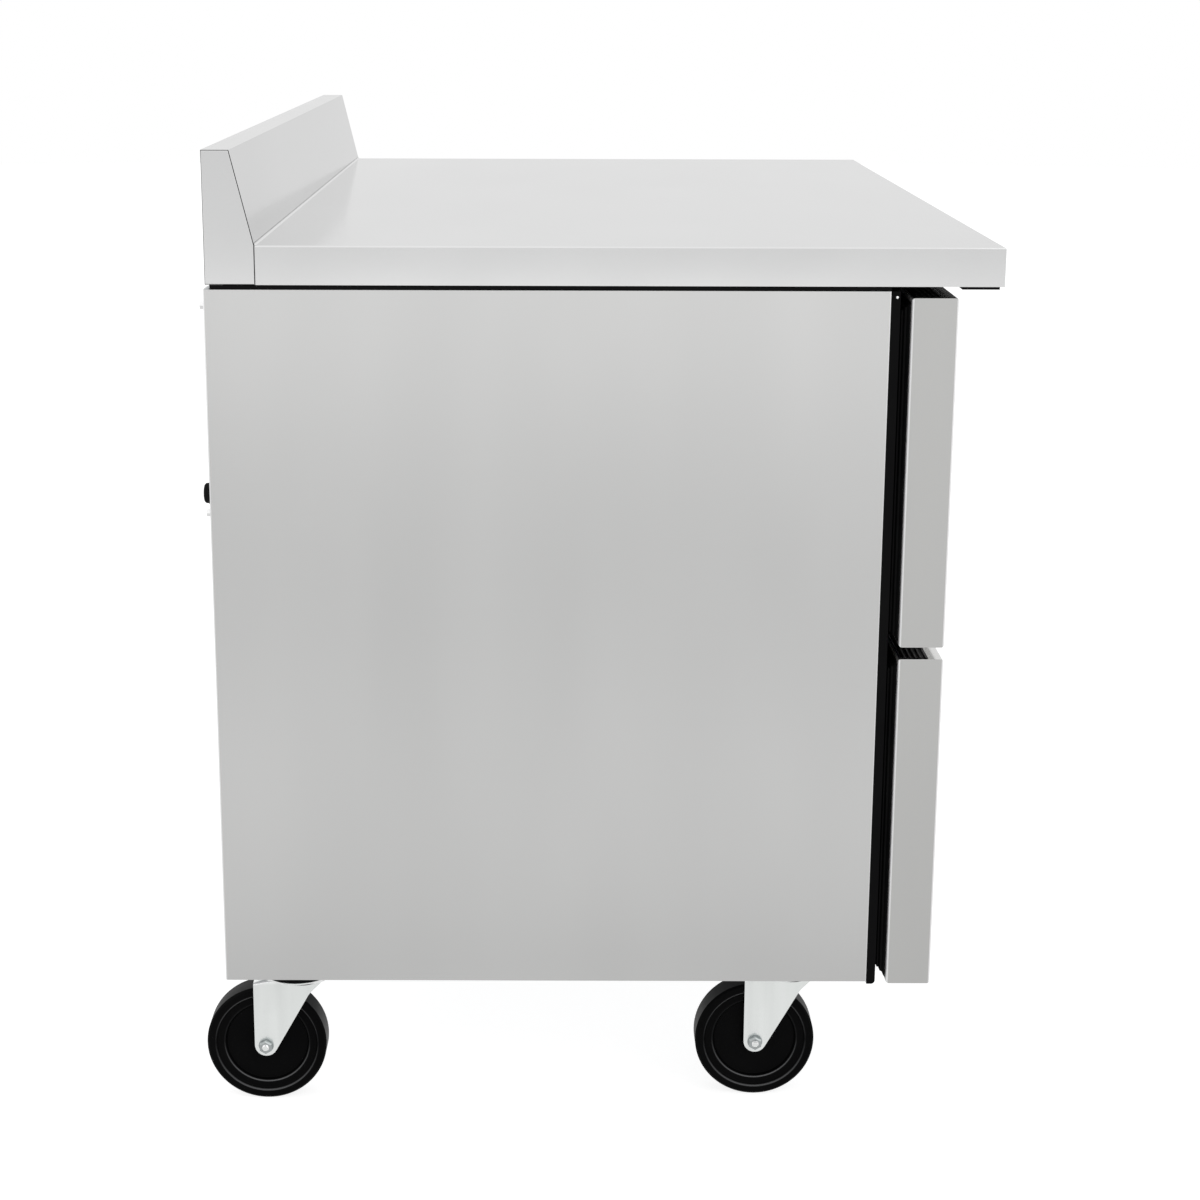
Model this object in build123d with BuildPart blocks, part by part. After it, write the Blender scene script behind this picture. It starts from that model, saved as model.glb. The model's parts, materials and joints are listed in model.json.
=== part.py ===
from build123d import *
from math import acos, atan2, cos, hypot, radians, sin, sqrt
import os

os.makedirs("parts", exist_ok=True)

# Sheet metal and fits
sheet = 1.2
bend = 2.0
fit_gap = 0.3
seam = 0.4

# Worktop with its rear splash
worktop_width = 1224.0
front_overhang = 106.9
worktop_edge = 37.3
edge_radius = 2.0
edge_return = 24.0
splash_rise = 89.2
splash_top_depth = 26.5
splash_foot_depth = 48.2
splash_return = 18.0
strip_height = 4.8
strip_width = 25.0
strip_inset = 4.0
nosing_strip_depth = 35.6
nosing_strip_height = 3.0

# Cabinet shell
caster_height = 165.0
body_depth = 657.6
body_height = 707.3
body_inset = 2.0
rear_step = 2.5
wall = 45.0
liner_sheet = 0.9
liner_cove = 10.0
front_flange = 24.0
rear_flange = 30.0
base_upstand = 20.0
machine_depth = 180.0
machine_height = 430.0

# Black face frame and its four openings
frame_thickness = 8.55
frame_inset = 1.0
frame_drop = 3.0
frame_nose = 4.0
opening_side_lap = 45.0
opening_mullion_lap = 30.0
opening_edge_lap = 34.0
opening_step = 2.0

# Drawer fronts
front_thickness = 45.6
front_side_inset = 2.0
front_column_gap = 6.0
front_row_gap = 12.1
front_drop = 2.8
front_top_gap = 6.6
front_radius = 2.5
hem_radius = 4.0
core_ease = 0.1
panel_rise = 8.0
panel_inset = 5.0

# Finger pull pressed into each front
pull_width = 300.0
pull_mouth = 36.0
pull_depth = 26.0
pull_hook = 14.0
pull_corner = 6.0
pull_scoop_rise = 20.0
pull_scoop_sag = 4.0
pull_drop = 34.0

# Magnetic gasket
gasket_depth = 10.5
gasket_face_inset = 15.0
gasket_mid_inset = 9.0
gasket_mid_depth = 4.5
gasket_width = 14.0

# Drawer slides and pan cradles
post_depth = 12.0
post_width = 40.0
centre_post_half = 36.0
rail_sheet = 1.5
rail_depth = 12.5
rail_height = 46.0
rail_front_setback = 8.0
rail_rear_setback = 9.6
slide_ease = 0.4
cradle_rail_reach = 2.0
cradle_height = 150.0
cradle_headroom = 40.0
cradle_ledge = 12.0
cradle_rear_setback = 6.0
cradle_arm_inset = 18.0

# Rear grille
grille_gap = 1.0
grille_base_gap = 7.0
grille_lap = 45.0
louvre_columns = 2
louvre_rows = 7
louvre_width = 400.0
louvre_height = 13.0
louvre_pitch_x = 500.0
louvre_pitch_z = 52.0
louvre_reach = 5.0

# Finned coils
fin_sheet = 1.6
fin_count = 7
coil_web = 6.0
coil_plate = 1.5
condenser_x = -250.0
condenser_width = 320.0
condenser_height = 280.0
condenser_depth = 44.0
condenser_setback = 30.0
condenser_foot = 14.0
duct_depth = 76.0
evaporator_width = 440.0
evaporator_height = 130.0
evaporator_depth = 76.0
evaporator_setback = 4.0

# Fans and their motors
motor_size = 62.0
motor_length = 45.0
strap_width = 26.0
strap_sheet = 3.0
hub_radius = 15.0
hub_length = 18.0
blade_count = 4
blade_sheet = 2.0
blade_root_chord = 16.0
blade_pitch = 30.0
blade_tip_chamfer = 9.0
condenser_fan_radius = 112.0
condenser_blade_chord = 66.0
evaporator_fan_radius = 56.0
evaporator_blade_chord = 34.0

# Evaporator housing
housing_pocket = 80.0
housing_depth = 168.0
housing_foot = 15.0
housing_opening = 124.0
intake_slots = 3
intake_slot_height = 14.0
intake_slot_length = 110.0
intake_slot_pitch = 38.0
intake_slot_x = 220.0

# Compressor
compressor_radius = 64.0
compressor_height = 200.0
bracket_half_width = 76.0
bracket_depth = 110.0
bracket_height = 15.0

# Refrigerant lines and their passage through the insulation
suction_inset = 24.0
line_y_setback = 25.0
line_drop = 30.0
passage_width = 24.0
suction_radius = 5.0
liquid_radius = 3.0

# Small fittings
vent_slot_count = 5
vent_slot_pitch = 60.0
vent_slot_width = 12.0
vent_slot_length = 80.0
tray_compressor_gap = 14.0
tray_side_gap = 58.0
tray_depth = 140.0
tray_height = 45.0
tray_corner = 10.0
controller_side_gap = 40.0
controller_width = 110.0
controller_height = 64.0
controller_depth = 36.0
controller_corner = 5.0
controller_window = 2.0
bumper_radius = 11.0
bumper_reach = 7.2
bumper_edge = 18.0
bumper_rise = 31.0
screw_head = 9.0
screw_head_height = 6.0
screw_edge = 20.0
screw_top_drop = 17.3
screw_rise = 11.0

# Casters
wheel_radius = 63.5
wheel_width = 32.0
wheel_bore_ease = 0.08
caster_trail = 33.5
front_caster_setback = 72.95
rear_caster_setback = 64.65
front_caster_inset = 99.0
rear_caster_inset = 86.0
plate_sheet = 4.0
plate_width = 92.0
plate_length = 79.0
plate_corner = 6.0
plate_bolt_pitch_x = 74.0
plate_bolt_pitch_y = 61.0
bolt_head = 13.0
bolt_head_height = 5.5
race_radius = 24.0
race_height = 22.0
swivel_ease = 0.4
fork_sheet = 3.0
fork_gap_half = 18.5
crown_radius = 36.5
crown_sides = 24
crown_fall = 4.5
leg_round = 12.0
leg_shoulder_reach = 13.5
leg_shoulder_drop = 16.0
axle_radius = 4.7
axle_head = 13.0
axle_head_height = 7.5

# Depths and levels that follow from the driving sizes
wheel_overhang = rear_step - rear_caster_setback + caster_trail + wheel_radius
worktop_depth = body_depth - rear_step + front_overhang
overall_depth = worktop_depth + wheel_overhang
nosing_y = -overall_depth / 2
splash_rear_y = nosing_y + worktop_depth
splash_foot_y = splash_rear_y - splash_foot_depth
body_rear_y = splash_rear_y + rear_step
body_front_y = body_rear_y - body_depth
back_y = body_rear_y - sheet
frame_front_y = body_front_y - frame_thickness
seal_y = frame_front_y - fit_gap - gasket_depth
front_face_y = seal_y - front_thickness
body_bottom_z = caster_height
deck_z = body_bottom_z + sheet
body_top_z = body_bottom_z + body_height
edge_bottom_z = body_top_z + strip_height
worktop_z = edge_bottom_z + worktop_edge
splash_top_z = worktop_z + splash_rise
worktop_half = worktop_width / 2
body_half = worktop_half - body_inset
panel_half = body_half - bend

# Storage space and machine compartment
liner_half = body_half - wall
floor_z = body_bottom_z + wall
ceiling_z = body_top_z - wall
machine_front_y = body_rear_y - machine_depth
machine_top_z = body_bottom_z + machine_height
lower_rear_y = machine_front_y - wall
upper_rear_y = body_rear_y - wall
step_z = machine_top_z + wall

# Drawer rows and columns
front_outer_x = body_half - front_side_inset
front_inner_x = front_column_gap / 2
front_width = front_outer_x - front_inner_x
front_centre_x = (front_outer_x + front_inner_x) / 2
front_height = (body_height + front_drop - front_top_gap - front_row_gap) / 2
lower_front_z = body_bottom_z - front_drop
upper_front_z = lower_front_z + front_height + front_row_gap
opening_outer_x = front_outer_x - opening_side_lap
opening_inner_x = front_inner_x + opening_mullion_lap
columns = {"left": -1, "right": 1}
rows = {
    "lower": {
        "front_z": lower_front_z,
        "open_z": floor_z + opening_step,
        "open_top_z": lower_front_z + front_height - opening_edge_lap,
    },
    "upper": {
        "front_z": upper_front_z,
        "open_z": upper_front_z + opening_edge_lap,
        "open_top_z": ceiling_z - opening_step,
    },
}

# Slides
rail_front_y = body_front_y + rail_front_setback
rail_rear_y = lower_rear_y - rail_rear_setback
rail_length = rail_rear_y - rail_front_y
wall_rail_x = liner_half - post_depth
slide_step = rail_sheet + slide_ease
cradle_gap = rail_depth + cradle_rail_reach
cradle_outer_x = wall_rail_x - cradle_gap
cradle_inner_x = centre_post_half + cradle_gap

# Refrigeration parts
condenser_front_y = back_y - condenser_setback - condenser_depth
condenser_z = deck_z + condenser_foot
condenser_mid_z = condenser_z + condenser_height / 2
housing_half = evaporator_width / 2 + housing_pocket
housing_z = step_z + housing_foot
housing_top_z = ceiling_z - liner_cove
housing_front_y = upper_rear_y - housing_depth
evaporator_front_y = upper_rear_y - evaporator_setback - evaporator_depth
evaporator_z = housing_z + sheet
evaporator_mid_z = evaporator_z + evaporator_height / 2
line_x = housing_half - housing_pocket / 2
line_y = upper_rear_y - line_y_setback
compressor_x = line_x - compressor_radius + suction_inset
compressor_z = deck_z + bracket_height
compressor_top_z = compressor_z + compressor_height
controller_x = liner_half - controller_side_gap - controller_width / 2

# Casters: side, swivel axis and levels
casters = {
    "front_left": (-1, worktop_half - front_caster_inset, body_front_y + front_caster_setback),
    "front_right": (1, worktop_half - front_caster_inset, body_front_y + front_caster_setback),
    "rear_left": (-1, worktop_half - rear_caster_inset, body_rear_y - rear_caster_setback),
    "rear_right": (1, worktop_half - rear_caster_inset, body_rear_y - rear_caster_setback),
}
plate_z = caster_height - plate_sheet
race_z = plate_z - race_height
crown_z = race_z - swivel_ease
fork_outer = fork_gap_half + fork_sheet
crown_reach = sqrt(crown_radius**2 - fork_outer**2)


def front_plane(y):
    """The upright plane at depth y, facing the user, with width and height as its axes."""
    return Plane.XZ.offset(-y)


def side_plane(x):
    """The upright plane at x, facing right, with depth and height as its axes."""
    return Plane.YZ.offset(x)


def floor_plane(z):
    """The level plane at height z."""
    return Plane.XY.offset(z)


def save(part, name):
    """Label a finished piece and write it as one STEP file."""
    part.label = name
    export_step(part, f"parts/{name}.step")


def block(low, high):
    """A plain block between two opposite corners."""
    size = [b - a for a, b in zip(low, high)]
    with BuildPart() as piece:
        with Locations(tuple(low)):
            Box(*size, align=(Align.MIN, Align.MIN, Align.MIN))
    return piece.part


def folded(points, plane, length, side, radius=0):
    """A bent sheet: the points run along its outer face, and the section is drawn out by length."""
    with BuildPart() as piece:
        with BuildSketch(plane):
            with BuildLine():
                if radius:
                    FilletPolyline(*points, radius=radius)
                else:
                    Polyline(*points)
                offset(amount=sheet, side=side, kind=Kind.INTERSECTION)
            make_face()
        extrude(amount=length)
    return piece.part


# Worktop


def worktop_skin():
    """The top sheet with its front and side edges folded down and returned underneath."""
    length = splash_foot_y - seam - nosing_y
    front = (Align.CENTER, Align.MIN)
    with BuildPart() as skin:
        with BuildSketch(floor_plane(edge_bottom_z)):
            with Locations((0, nosing_y)):
                Rectangle(worktop_width, length, align=front)
        extrude(amount=worktop_edge)
        fillet(skin.faces().sort_by(Axis.Z)[-1].edges().sort_by(Axis.Y)[:-1], edge_radius)
        with BuildSketch(floor_plane(edge_bottom_z + sheet)):
            with Locations((0, nosing_y + sheet)):
                Rectangle(worktop_width - 2 * sheet, length, align=front)
        extrude(amount=worktop_edge - 2 * sheet, mode=Mode.SUBTRACT)
        with BuildSketch(floor_plane(edge_bottom_z)):
            with Locations((0, nosing_y + edge_return)):
                Rectangle(worktop_width - 2 * edge_return, length, align=front)
        extrude(amount=sheet, mode=Mode.SUBTRACT)
    return skin.part


def worktop_core():
    """The stiffening foam slab that fills the worktop and rests on the body strip."""
    rear_y = splash_foot_y - seam
    inset = sheet + fit_gap
    lower_inset = edge_return + fit_gap
    with BuildPart() as core:
        add(
            block(
                (-worktop_half + inset, nosing_y + inset, edge_bottom_z + sheet),
                (worktop_half - inset, rear_y, worktop_z - sheet),
            )
        )
        add(
            block(
                (-worktop_half + lower_inset, nosing_y + lower_inset, edge_bottom_z),
                (worktop_half - lower_inset, rear_y, edge_bottom_z + sheet),
            )
        )
    return core.part


def splash_section():
    """The splash from the side: upright foot, sloped face, narrow top and upright back."""
    with BuildSketch(side_plane(0)) as section:
        with BuildLine():
            Polyline(
                (splash_foot_y, edge_bottom_z),
                (splash_foot_y, worktop_z),
                (splash_rear_y - splash_top_depth, splash_top_z),
                (splash_rear_y, splash_top_z),
                (splash_rear_y, edge_bottom_z),
                close=True,
            )
        make_face()
    return section.sketch


def backsplash():
    """The sloped splash: one folded sheet, hollow behind, with a short return underneath."""
    half = worktop_half - sheet - seam
    with BuildPart() as splash:
        extrude(to_extrude=splash_section(), amount=half, both=True, dir=(1, 0, 0))
        with BuildSketch(side_plane(0)):
            add(splash_section())
            offset(amount=-sheet, mode=Mode.REPLACE)
        extrude(amount=half, both=True, mode=Mode.SUBTRACT)
        add(
            block(
                (-half, splash_foot_y + sheet, edge_bottom_z),
                (half, splash_rear_y - splash_return, edge_bottom_z + sheet),
            ),
            mode=Mode.SUBTRACT,
        )
    return splash.part


def splash_end_caps():
    """The two end plates that close the splash and the worktop's rear corners."""
    with BuildPart() as caps:
        for x in (-worktop_half, worktop_half - sheet):
            section = splash_section().moved(Location((x, 0, 0)))
            extrude(to_extrude=section, amount=sheet, dir=(1, 0, 0))
    return caps.part


def closure_strip():
    """The black strip between body and worktop, a frame set just behind the worktop's edges."""
    width = worktop_width - 2 * strip_inset
    length = splash_rear_y - strip_inset - body_front_y
    with BuildPart() as strip:
        with BuildSketch(floor_plane(body_top_z)):
            with Locations((0, body_front_y + length / 2)):
                Rectangle(width, length)
                Rectangle(width - 2 * strip_width, length - 2 * strip_width, mode=Mode.SUBTRACT)
        extrude(amount=strip_height)
    return strip.part


def nosing_strip():
    """The black strip stuck under the worktop's front edge."""
    half = worktop_half - strip_inset
    front_y = nosing_y + strip_inset
    return block(
        (-half, front_y, edge_bottom_z - nosing_strip_height),
        (half, front_y + nosing_strip_depth, edge_bottom_z),
    )


# Cabinet shell


def side_panel(sign):
    """An outer side sheet with its front and rear flanges turned in."""
    outer = sign * body_half
    points = [
        (outer - sign * front_flange, body_front_y),
        (outer, body_front_y),
        (outer, body_rear_y),
        (outer - sign * rear_flange, body_rear_y),
    ]
    side = Side.RIGHT if sign < 0 else Side.LEFT
    return folded(points, floor_plane(body_bottom_z), body_height, side, bend)


def line_passage():
    """The opening for the suction line, through roof, foam, liner and housing floor."""
    half = passage_width / 2
    return block(
        (line_x - half, line_y - half, machine_top_z - sheet),
        (line_x + half, line_y + half, housing_z + sheet),
    )


def back_panel():
    """The galvanised wrapper: body top, upper back, compartment roof and compartment front."""
    points = [
        (body_front_y + sheet, body_top_z),
        (back_y, body_top_z),
        (back_y, machine_top_z),
        (machine_front_y, machine_top_z),
        (machine_front_y, deck_z),
    ]
    with BuildPart() as panel:
        add(folded(points, side_plane(-panel_half), 2 * panel_half, Side.RIGHT))
        add(line_passage(), mode=Mode.SUBTRACT)
    return panel.part


def base_pan():
    """The bottom sheet with a rear upstand and air slots in front of the condenser."""
    points = [
        (body_front_y + sheet, body_bottom_z),
        (back_y, body_bottom_z),
        (back_y, body_bottom_z + base_upstand),
    ]
    with BuildPart() as pan:
        add(folded(points, side_plane(-panel_half), 2 * panel_half, Side.LEFT))
        with BuildSketch(floor_plane(body_bottom_z)):
            with Locations((condenser_x, (machine_front_y + condenser_front_y) / 2)):
                with GridLocations(vent_slot_pitch, 0, vent_slot_count, 1):
                    Rectangle(vent_slot_width, vent_slot_length)
        extrude(amount=sheet, mode=Mode.SUBTRACT)
    return pan.part


def cavity(grow, cove=0):
    """The storage space, stepped over the machine compartment, grown by a sheet thickness."""
    half = liner_half + grow
    with BuildPart() as space:
        with BuildSketch(side_plane(-half)) as section:
            with BuildLine():
                Polyline(
                    (body_front_y, floor_z - grow),
                    (lower_rear_y + grow, floor_z - grow),
                    (lower_rear_y + grow, step_z - grow),
                    (upper_rear_y + grow, step_z - grow),
                    (upper_rear_y + grow, ceiling_z + grow),
                    (body_front_y, ceiling_z + grow),
                    close=True,
                )
            make_face()
            if cove:
                fillet(section.vertices().sort_by(Axis.X)[2:], cove)
        extrude(amount=2 * half)
    return space.part


def cabinet_liner():
    """The stainless inner box with coved rear corners, open at the front."""
    with BuildPart() as liner:
        add(cavity(liner_sheet))
        add(cavity(0, liner_cove), mode=Mode.SUBTRACT)
        add(line_passage(), mode=Mode.SUBTRACT)
    return liner.part


def foam_insulation():
    """The foam poured between the liner and the outer sheets."""
    inside_y = back_y - sheet
    front_y = body_front_y + sheet
    with BuildPart() as foam:
        add(block((-panel_half, front_y, deck_z), (panel_half, inside_y, body_top_z - sheet)))
        add(cavity(liner_sheet), mode=Mode.SUBTRACT)
        add(
            block(
                (-panel_half, machine_front_y - sheet, deck_z),
                (panel_half, inside_y, machine_top_z + sheet),
            ),
            mode=Mode.SUBTRACT,
        )
        add(line_passage(), mode=Mode.SUBTRACT)
    return foam.part


def face_frame():
    """The black front frame with a mullion, a middle rail and four openings."""
    half = body_half - frame_inset
    bottom_z = body_bottom_z - frame_drop
    with BuildPart() as frame:
        add(block((-half, frame_front_y, bottom_z), (half, body_front_y, body_top_z)))
        lower_front = frame.edges().filter_by(Axis.X).group_by(Axis.Z)[0].sort_by(Axis.Y)[0]
        fillet(lower_front, frame_nose)
        for sign in columns.values():
            low_x, high_x = sorted((sign * opening_outer_x, sign * opening_inner_x))
            for row in rows.values():
                opening = block(
                    (low_x, frame_front_y, row["open_z"]),
                    (high_x, body_front_y, row["open_top_z"]),
                )
                add(opening, mode=Mode.SUBTRACT)
    return frame.part


# Drawers


def inset_block(sign, row, inset, y0, y1):
    """A block as large as a drawer front less an inset all round, between two depths."""
    left_x = sign * front_centre_x - front_width / 2
    return block(
        (left_x + inset, y0, row["front_z"] + inset),
        (left_x + front_width - inset, y1, row["front_z"] + front_height - inset),
    )


def pull_space(sign, row, grow):
    """The finger pull's space: a scooped floor and a hook behind the lip, grown by a margin."""
    mouth_z = row["front_z"] + front_height - pull_drop - pull_mouth
    mouth_top_z = mouth_z + pull_mouth
    lip_y = front_face_y + 2 * sheet
    deep_y = front_face_y + pull_depth
    top_z = mouth_top_z + pull_hook
    scoop_end = (deep_y, mouth_z + pull_scoop_rise)
    scoop_middle = (front_face_y + 2 * pull_depth / 3, mouth_z + pull_scoop_sag)
    with BuildPart() as space:
        with BuildSketch(side_plane(sign * front_centre_x)):
            with BuildLine():
                ThreePointArc((front_face_y, mouth_z), scoop_middle, scoop_end)
                Polyline(
                    scoop_end,
                    (deep_y, top_z - pull_corner),
                    (deep_y - pull_corner, top_z),
                    (lip_y, top_z),
                    (lip_y, mouth_top_z),
                    (front_face_y, mouth_top_z),
                    (front_face_y, mouth_z),
                )
            make_face()
            if grow:
                offset(amount=grow, kind=Kind.INTERSECTION, mode=Mode.REPLACE)
        extrude(amount=pull_width / 2 + grow, both=True)
    return space.part


def front_skin(sign, row):
    """The stainless drawer front: a pan with a rolled rear hem and a pressed finger pull."""
    ahead = front_face_y - pull_depth
    with BuildPart() as skin:
        add(inset_block(sign, row, 0, front_face_y, seal_y))
        fillet(skin.faces().sort_by(Axis.Y)[0].edges(), front_radius)
        fillet(skin.faces().sort_by(Axis.Y)[-1].edges(), hem_radius)
        pocket = inset_block(sign, row, sheet, front_face_y + sheet, seal_y - hem_radius)
        add(pocket, mode=Mode.SUBTRACT)
        mouth = inset_block(sign, row, hem_radius, seal_y - hem_radius, seal_y)
        add(mouth, mode=Mode.SUBTRACT)
        add(pull_space(sign, row, sheet))
        add(pull_space(sign, row, 0), mode=Mode.SUBTRACT)
        add(inset_block(sign, row, 0, ahead, front_face_y), mode=Mode.SUBTRACT)
    return skin.part


def front_core(sign, row):
    """The foam-filled inner side of a front, with a raised panel inside the gasket."""
    inset = sheet + core_ease
    neck_y = seal_y - hem_radius - core_ease
    raised_inset = gasket_face_inset + gasket_width + panel_inset
    with BuildPart() as core:
        add(inset_block(sign, row, inset, front_face_y + inset, neck_y))
        add(inset_block(sign, row, hem_radius + core_ease, neck_y, seal_y))
        with BuildSketch(front_plane(seal_y)):
            with Locations((sign * front_centre_x, row["front_z"] + front_height / 2)):
                Rectangle(front_width - 2 * raised_inset, front_height - 2 * raised_inset)
        extrude(amount=-panel_rise, taper=panel_inset)
        add(pull_space(sign, row, inset), mode=Mode.SUBTRACT)
    return core.part


def front_outline(sign, row, y, inset):
    """A rectangle at depth y, inset from a drawer front's outline."""
    with BuildSketch(front_plane(y)) as outline:
        with Locations((sign * front_centre_x, row["front_z"] + front_height / 2)):
            Rectangle(front_width - 2 * inset, front_height - 2 * inset)
    return outline.sketch


def gasket(sign, row):
    """The magnetic gasket: a ring whose outer side slants in to the sealing face."""
    face_y = seal_y + gasket_depth
    sections = [
        front_outline(sign, row, seal_y, hem_radius),
        front_outline(sign, row, seal_y + gasket_mid_depth, gasket_mid_inset),
        front_outline(sign, row, face_y, gasket_face_inset),
    ]
    inner = inset_block(sign, row, gasket_face_inset + gasket_width, seal_y, face_y)
    with BuildPart() as seal:
        loft(sections=sections, ruled=True)
        add(inner, mode=Mode.SUBTRACT)
    return seal.part


def channel(web_x, mouth_x, mid_z, half_height):
    """A slide rail: a C section from its web to its mouth, as long as the slides."""
    low_x, high_x = sorted((web_x, mouth_x))
    inner = half_height - rail_sheet
    inward = rail_sheet if mouth_x > web_x else -rail_sheet
    low_inner_x, high_inner_x = sorted((web_x + inward, mouth_x))
    with BuildPart() as rail:
        add(
            block(
                (low_x, rail_front_y, mid_z - half_height),
                (high_x, rail_rear_y, mid_z + half_height),
            )
        )
        add(
            block(
                (low_inner_x, rail_front_y, mid_z - inner),
                (high_inner_x, rail_rear_y, mid_z + inner),
            ),
            mode=Mode.SUBTRACT,
        )
    return rail.part


def slide_faces(sign):
    """The two post faces of a drawer bay, each with its direction towards the drawer."""
    return [(sign * wall_rail_x, -sign), (sign * centre_post_half, sign)]


def rail_level(row):
    """The height of a row's slides, at the middle of its cradle."""
    return row["open_top_z"] - cradle_headroom - cradle_height / 2


def slide_posts():
    """The upright channels on the walls and the box posts at the centre that carry the slides."""
    height = ceiling_z - floor_z
    with BuildPart() as posts:
        for y in (rail_front_y + post_width / 2, rail_rear_y - post_width):
            for sign in columns.values():
                with BuildSketch(floor_plane(floor_z)):
                    with Locations((sign * (liner_half - post_depth / 2), y)):
                        Rectangle(post_depth, post_width)
                    with Locations((sign * (liner_half - post_depth / 2 + rail_sheet), y)):
                        Rectangle(post_depth, post_width - 2 * rail_sheet, mode=Mode.SUBTRACT)
                extrude(amount=height)
            with BuildSketch(floor_plane(floor_z)):
                with Locations((0, y)):
                    Rectangle(2 * centre_post_half, post_width)
                    hollow = 2 * (centre_post_half - rail_sheet)
                    Rectangle(hollow, post_width - 2 * rail_sheet, mode=Mode.SUBTRACT)
            extrude(amount=height)
    return posts.part


def cabinet_rails():
    """The eight fixed slide rails, two for each drawer."""
    with BuildPart() as rails:
        for sign in columns.values():
            for row in rows.values():
                for face_x, way in slide_faces(sign):
                    mouth_x = face_x + way * rail_depth
                    add(channel(face_x, mouth_x, rail_level(row), rail_height / 2))
    return rails.part


def slide_members(sign, row):
    """The pair of middle slide members that travel half as far as their drawer."""
    half_height = rail_height / 2 - slide_step
    with BuildPart() as pair:
        for face_x, way in slide_faces(sign):
            web_x = face_x + way * slide_step
            mouth_x = face_x + way * rail_depth
            add(channel(web_x, mouth_x, rail_level(row), half_height))
    return pair.part


def pan_cradle(sign, row):
    """The drawer's open frame: inner slide members, four walls, pan ledges and front arms."""
    top_z = row["open_top_z"] - cradle_headroom
    bottom_z = top_z - cradle_height
    low_x, high_x = sorted((sign * cradle_outer_x, sign * cradle_inner_x))
    centre = ((low_x + high_x) / 2, (rail_front_y + rail_rear_y - cradle_rear_setback) / 2)
    width = high_x - low_x
    length = rail_length - cradle_rear_setback
    front_y = seal_y + panel_rise
    half_height = rail_height / 2 - 2 * slide_step
    with BuildPart() as cradle:
        with BuildSketch(floor_plane(bottom_z)):
            with Locations(centre):
                Rectangle(width, length)
                Rectangle(width - 2 * rail_sheet, length - 2 * rail_sheet, mode=Mode.SUBTRACT)
        extrude(amount=cradle_height)
        with BuildSketch(floor_plane(top_z - rail_sheet)):
            with Locations(centre):
                Rectangle(width, length)
                Rectangle(width - 2 * cradle_ledge, length - 2 * cradle_ledge, mode=Mode.SUBTRACT)
        extrude(amount=rail_sheet)
        for x in (low_x, high_x - rail_sheet):
            add(
                block(
                    (x, front_y, bottom_z + cradle_arm_inset),
                    (x + rail_sheet, rail_front_y, top_z - cradle_arm_inset),
                )
            )
        for face_x, way in slide_faces(sign):
            web_x = face_x + way * cradle_gap
            mouth_x = face_x + way * 2 * slide_step
            add(channel(web_x, mouth_x, rail_level(row), half_height))
    return cradle.part


# Refrigeration parts


def rear_grille():
    """The compartment cover with rows of pressed louvres that shed water outwards."""
    half = body_half - rear_flange - grille_gap
    low_z = body_bottom_z + grille_base_gap
    high_z = machine_top_z + grille_lap - grille_gap
    mid_z = (low_z + high_z) / 2
    lip_y = body_rear_y + louvre_reach
    with BuildPart() as cover:
        add(block((-half, back_y, low_z), (half, body_rear_y, high_z)))
        with BuildSketch(front_plane(body_rear_y)):
            with Locations((0, mid_z)):
                with GridLocations(louvre_pitch_x, louvre_pitch_z, louvre_columns, louvre_rows):
                    Rectangle(louvre_width, louvre_height)
        extrude(amount=sheet, mode=Mode.SUBTRACT)
        with BuildSketch(side_plane(-louvre_width / 2)) as hood:
            with BuildLine():
                Polyline(
                    (back_y, louvre_height / 2),
                    (body_rear_y, louvre_height / 2),
                    (lip_y, -louvre_height / 4),
                    (lip_y - sheet, -louvre_height / 4),
                    close=True,
                )
            make_face()
        for i in range(louvre_columns):
            hood_x = (i - (louvre_columns - 1) / 2) * louvre_pitch_x
            for j in range(louvre_rows):
                hood_z = mid_z + (j - (louvre_rows - 1) / 2) * louvre_pitch_z
                section = hood.sketch.moved(Location((hood_x, 0, hood_z)))
                extrude(to_extrude=section, amount=louvre_width, dir=(1, 0, 0))
    return cover.part


def finned_coil(centre_x, front_y, depth, low_z, width, height):
    """A finned coil block: upright fins on a tube bank, between two end plates."""
    pitch = (width - 2 * coil_plate) / (fin_count + 1)
    with BuildPart() as coil:
        with BuildSketch(floor_plane(low_z)):
            with Locations((centre_x, front_y + depth / 2)):
                Rectangle(width, coil_web)
                with GridLocations(pitch, 0, fin_count, 1):
                    Rectangle(fin_sheet, depth)
                with GridLocations(width - coil_plate, 0, 2, 1):
                    Rectangle(coil_plate, depth)
        extrude(amount=height)
    return coil.part


def condenser_coil():
    """The condenser: a finned block on two feet inside the rear grille."""
    width, depth = condenser_width, condenser_depth
    with BuildPart() as coil:
        add(
            finned_coil(
                condenser_x, condenser_front_y, depth, condenser_z, width, condenser_height
            )
        )
        with BuildSketch(floor_plane(deck_z)):
            with Locations((condenser_x, condenser_front_y + depth / 2)):
                with GridLocations(width - coil_plate, 0, 2, 1):
                    Rectangle(coil_plate, depth)
        extrude(amount=condenser_foot)
    return coil.part


def evaporator_coil():
    """The evaporator: a finned block behind the fan in the upper rear of the storage space."""
    return finned_coil(
        0, evaporator_front_y, evaporator_depth, evaporator_z, evaporator_width, evaporator_height
    )


def condenser_duct():
    """The square duct in front of the condenser that the fan draws air through."""
    half = condenser_width / 2
    with BuildPart() as duct:
        with BuildSketch(front_plane(condenser_front_y)):
            with Locations((condenser_x, condenser_mid_z)):
                Rectangle(2 * half, condenser_height)
                Rectangle(2 * (half - sheet), condenser_height - 2 * sheet, mode=Mode.SUBTRACT)
        extrude(amount=duct_depth)
    return duct.part


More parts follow.
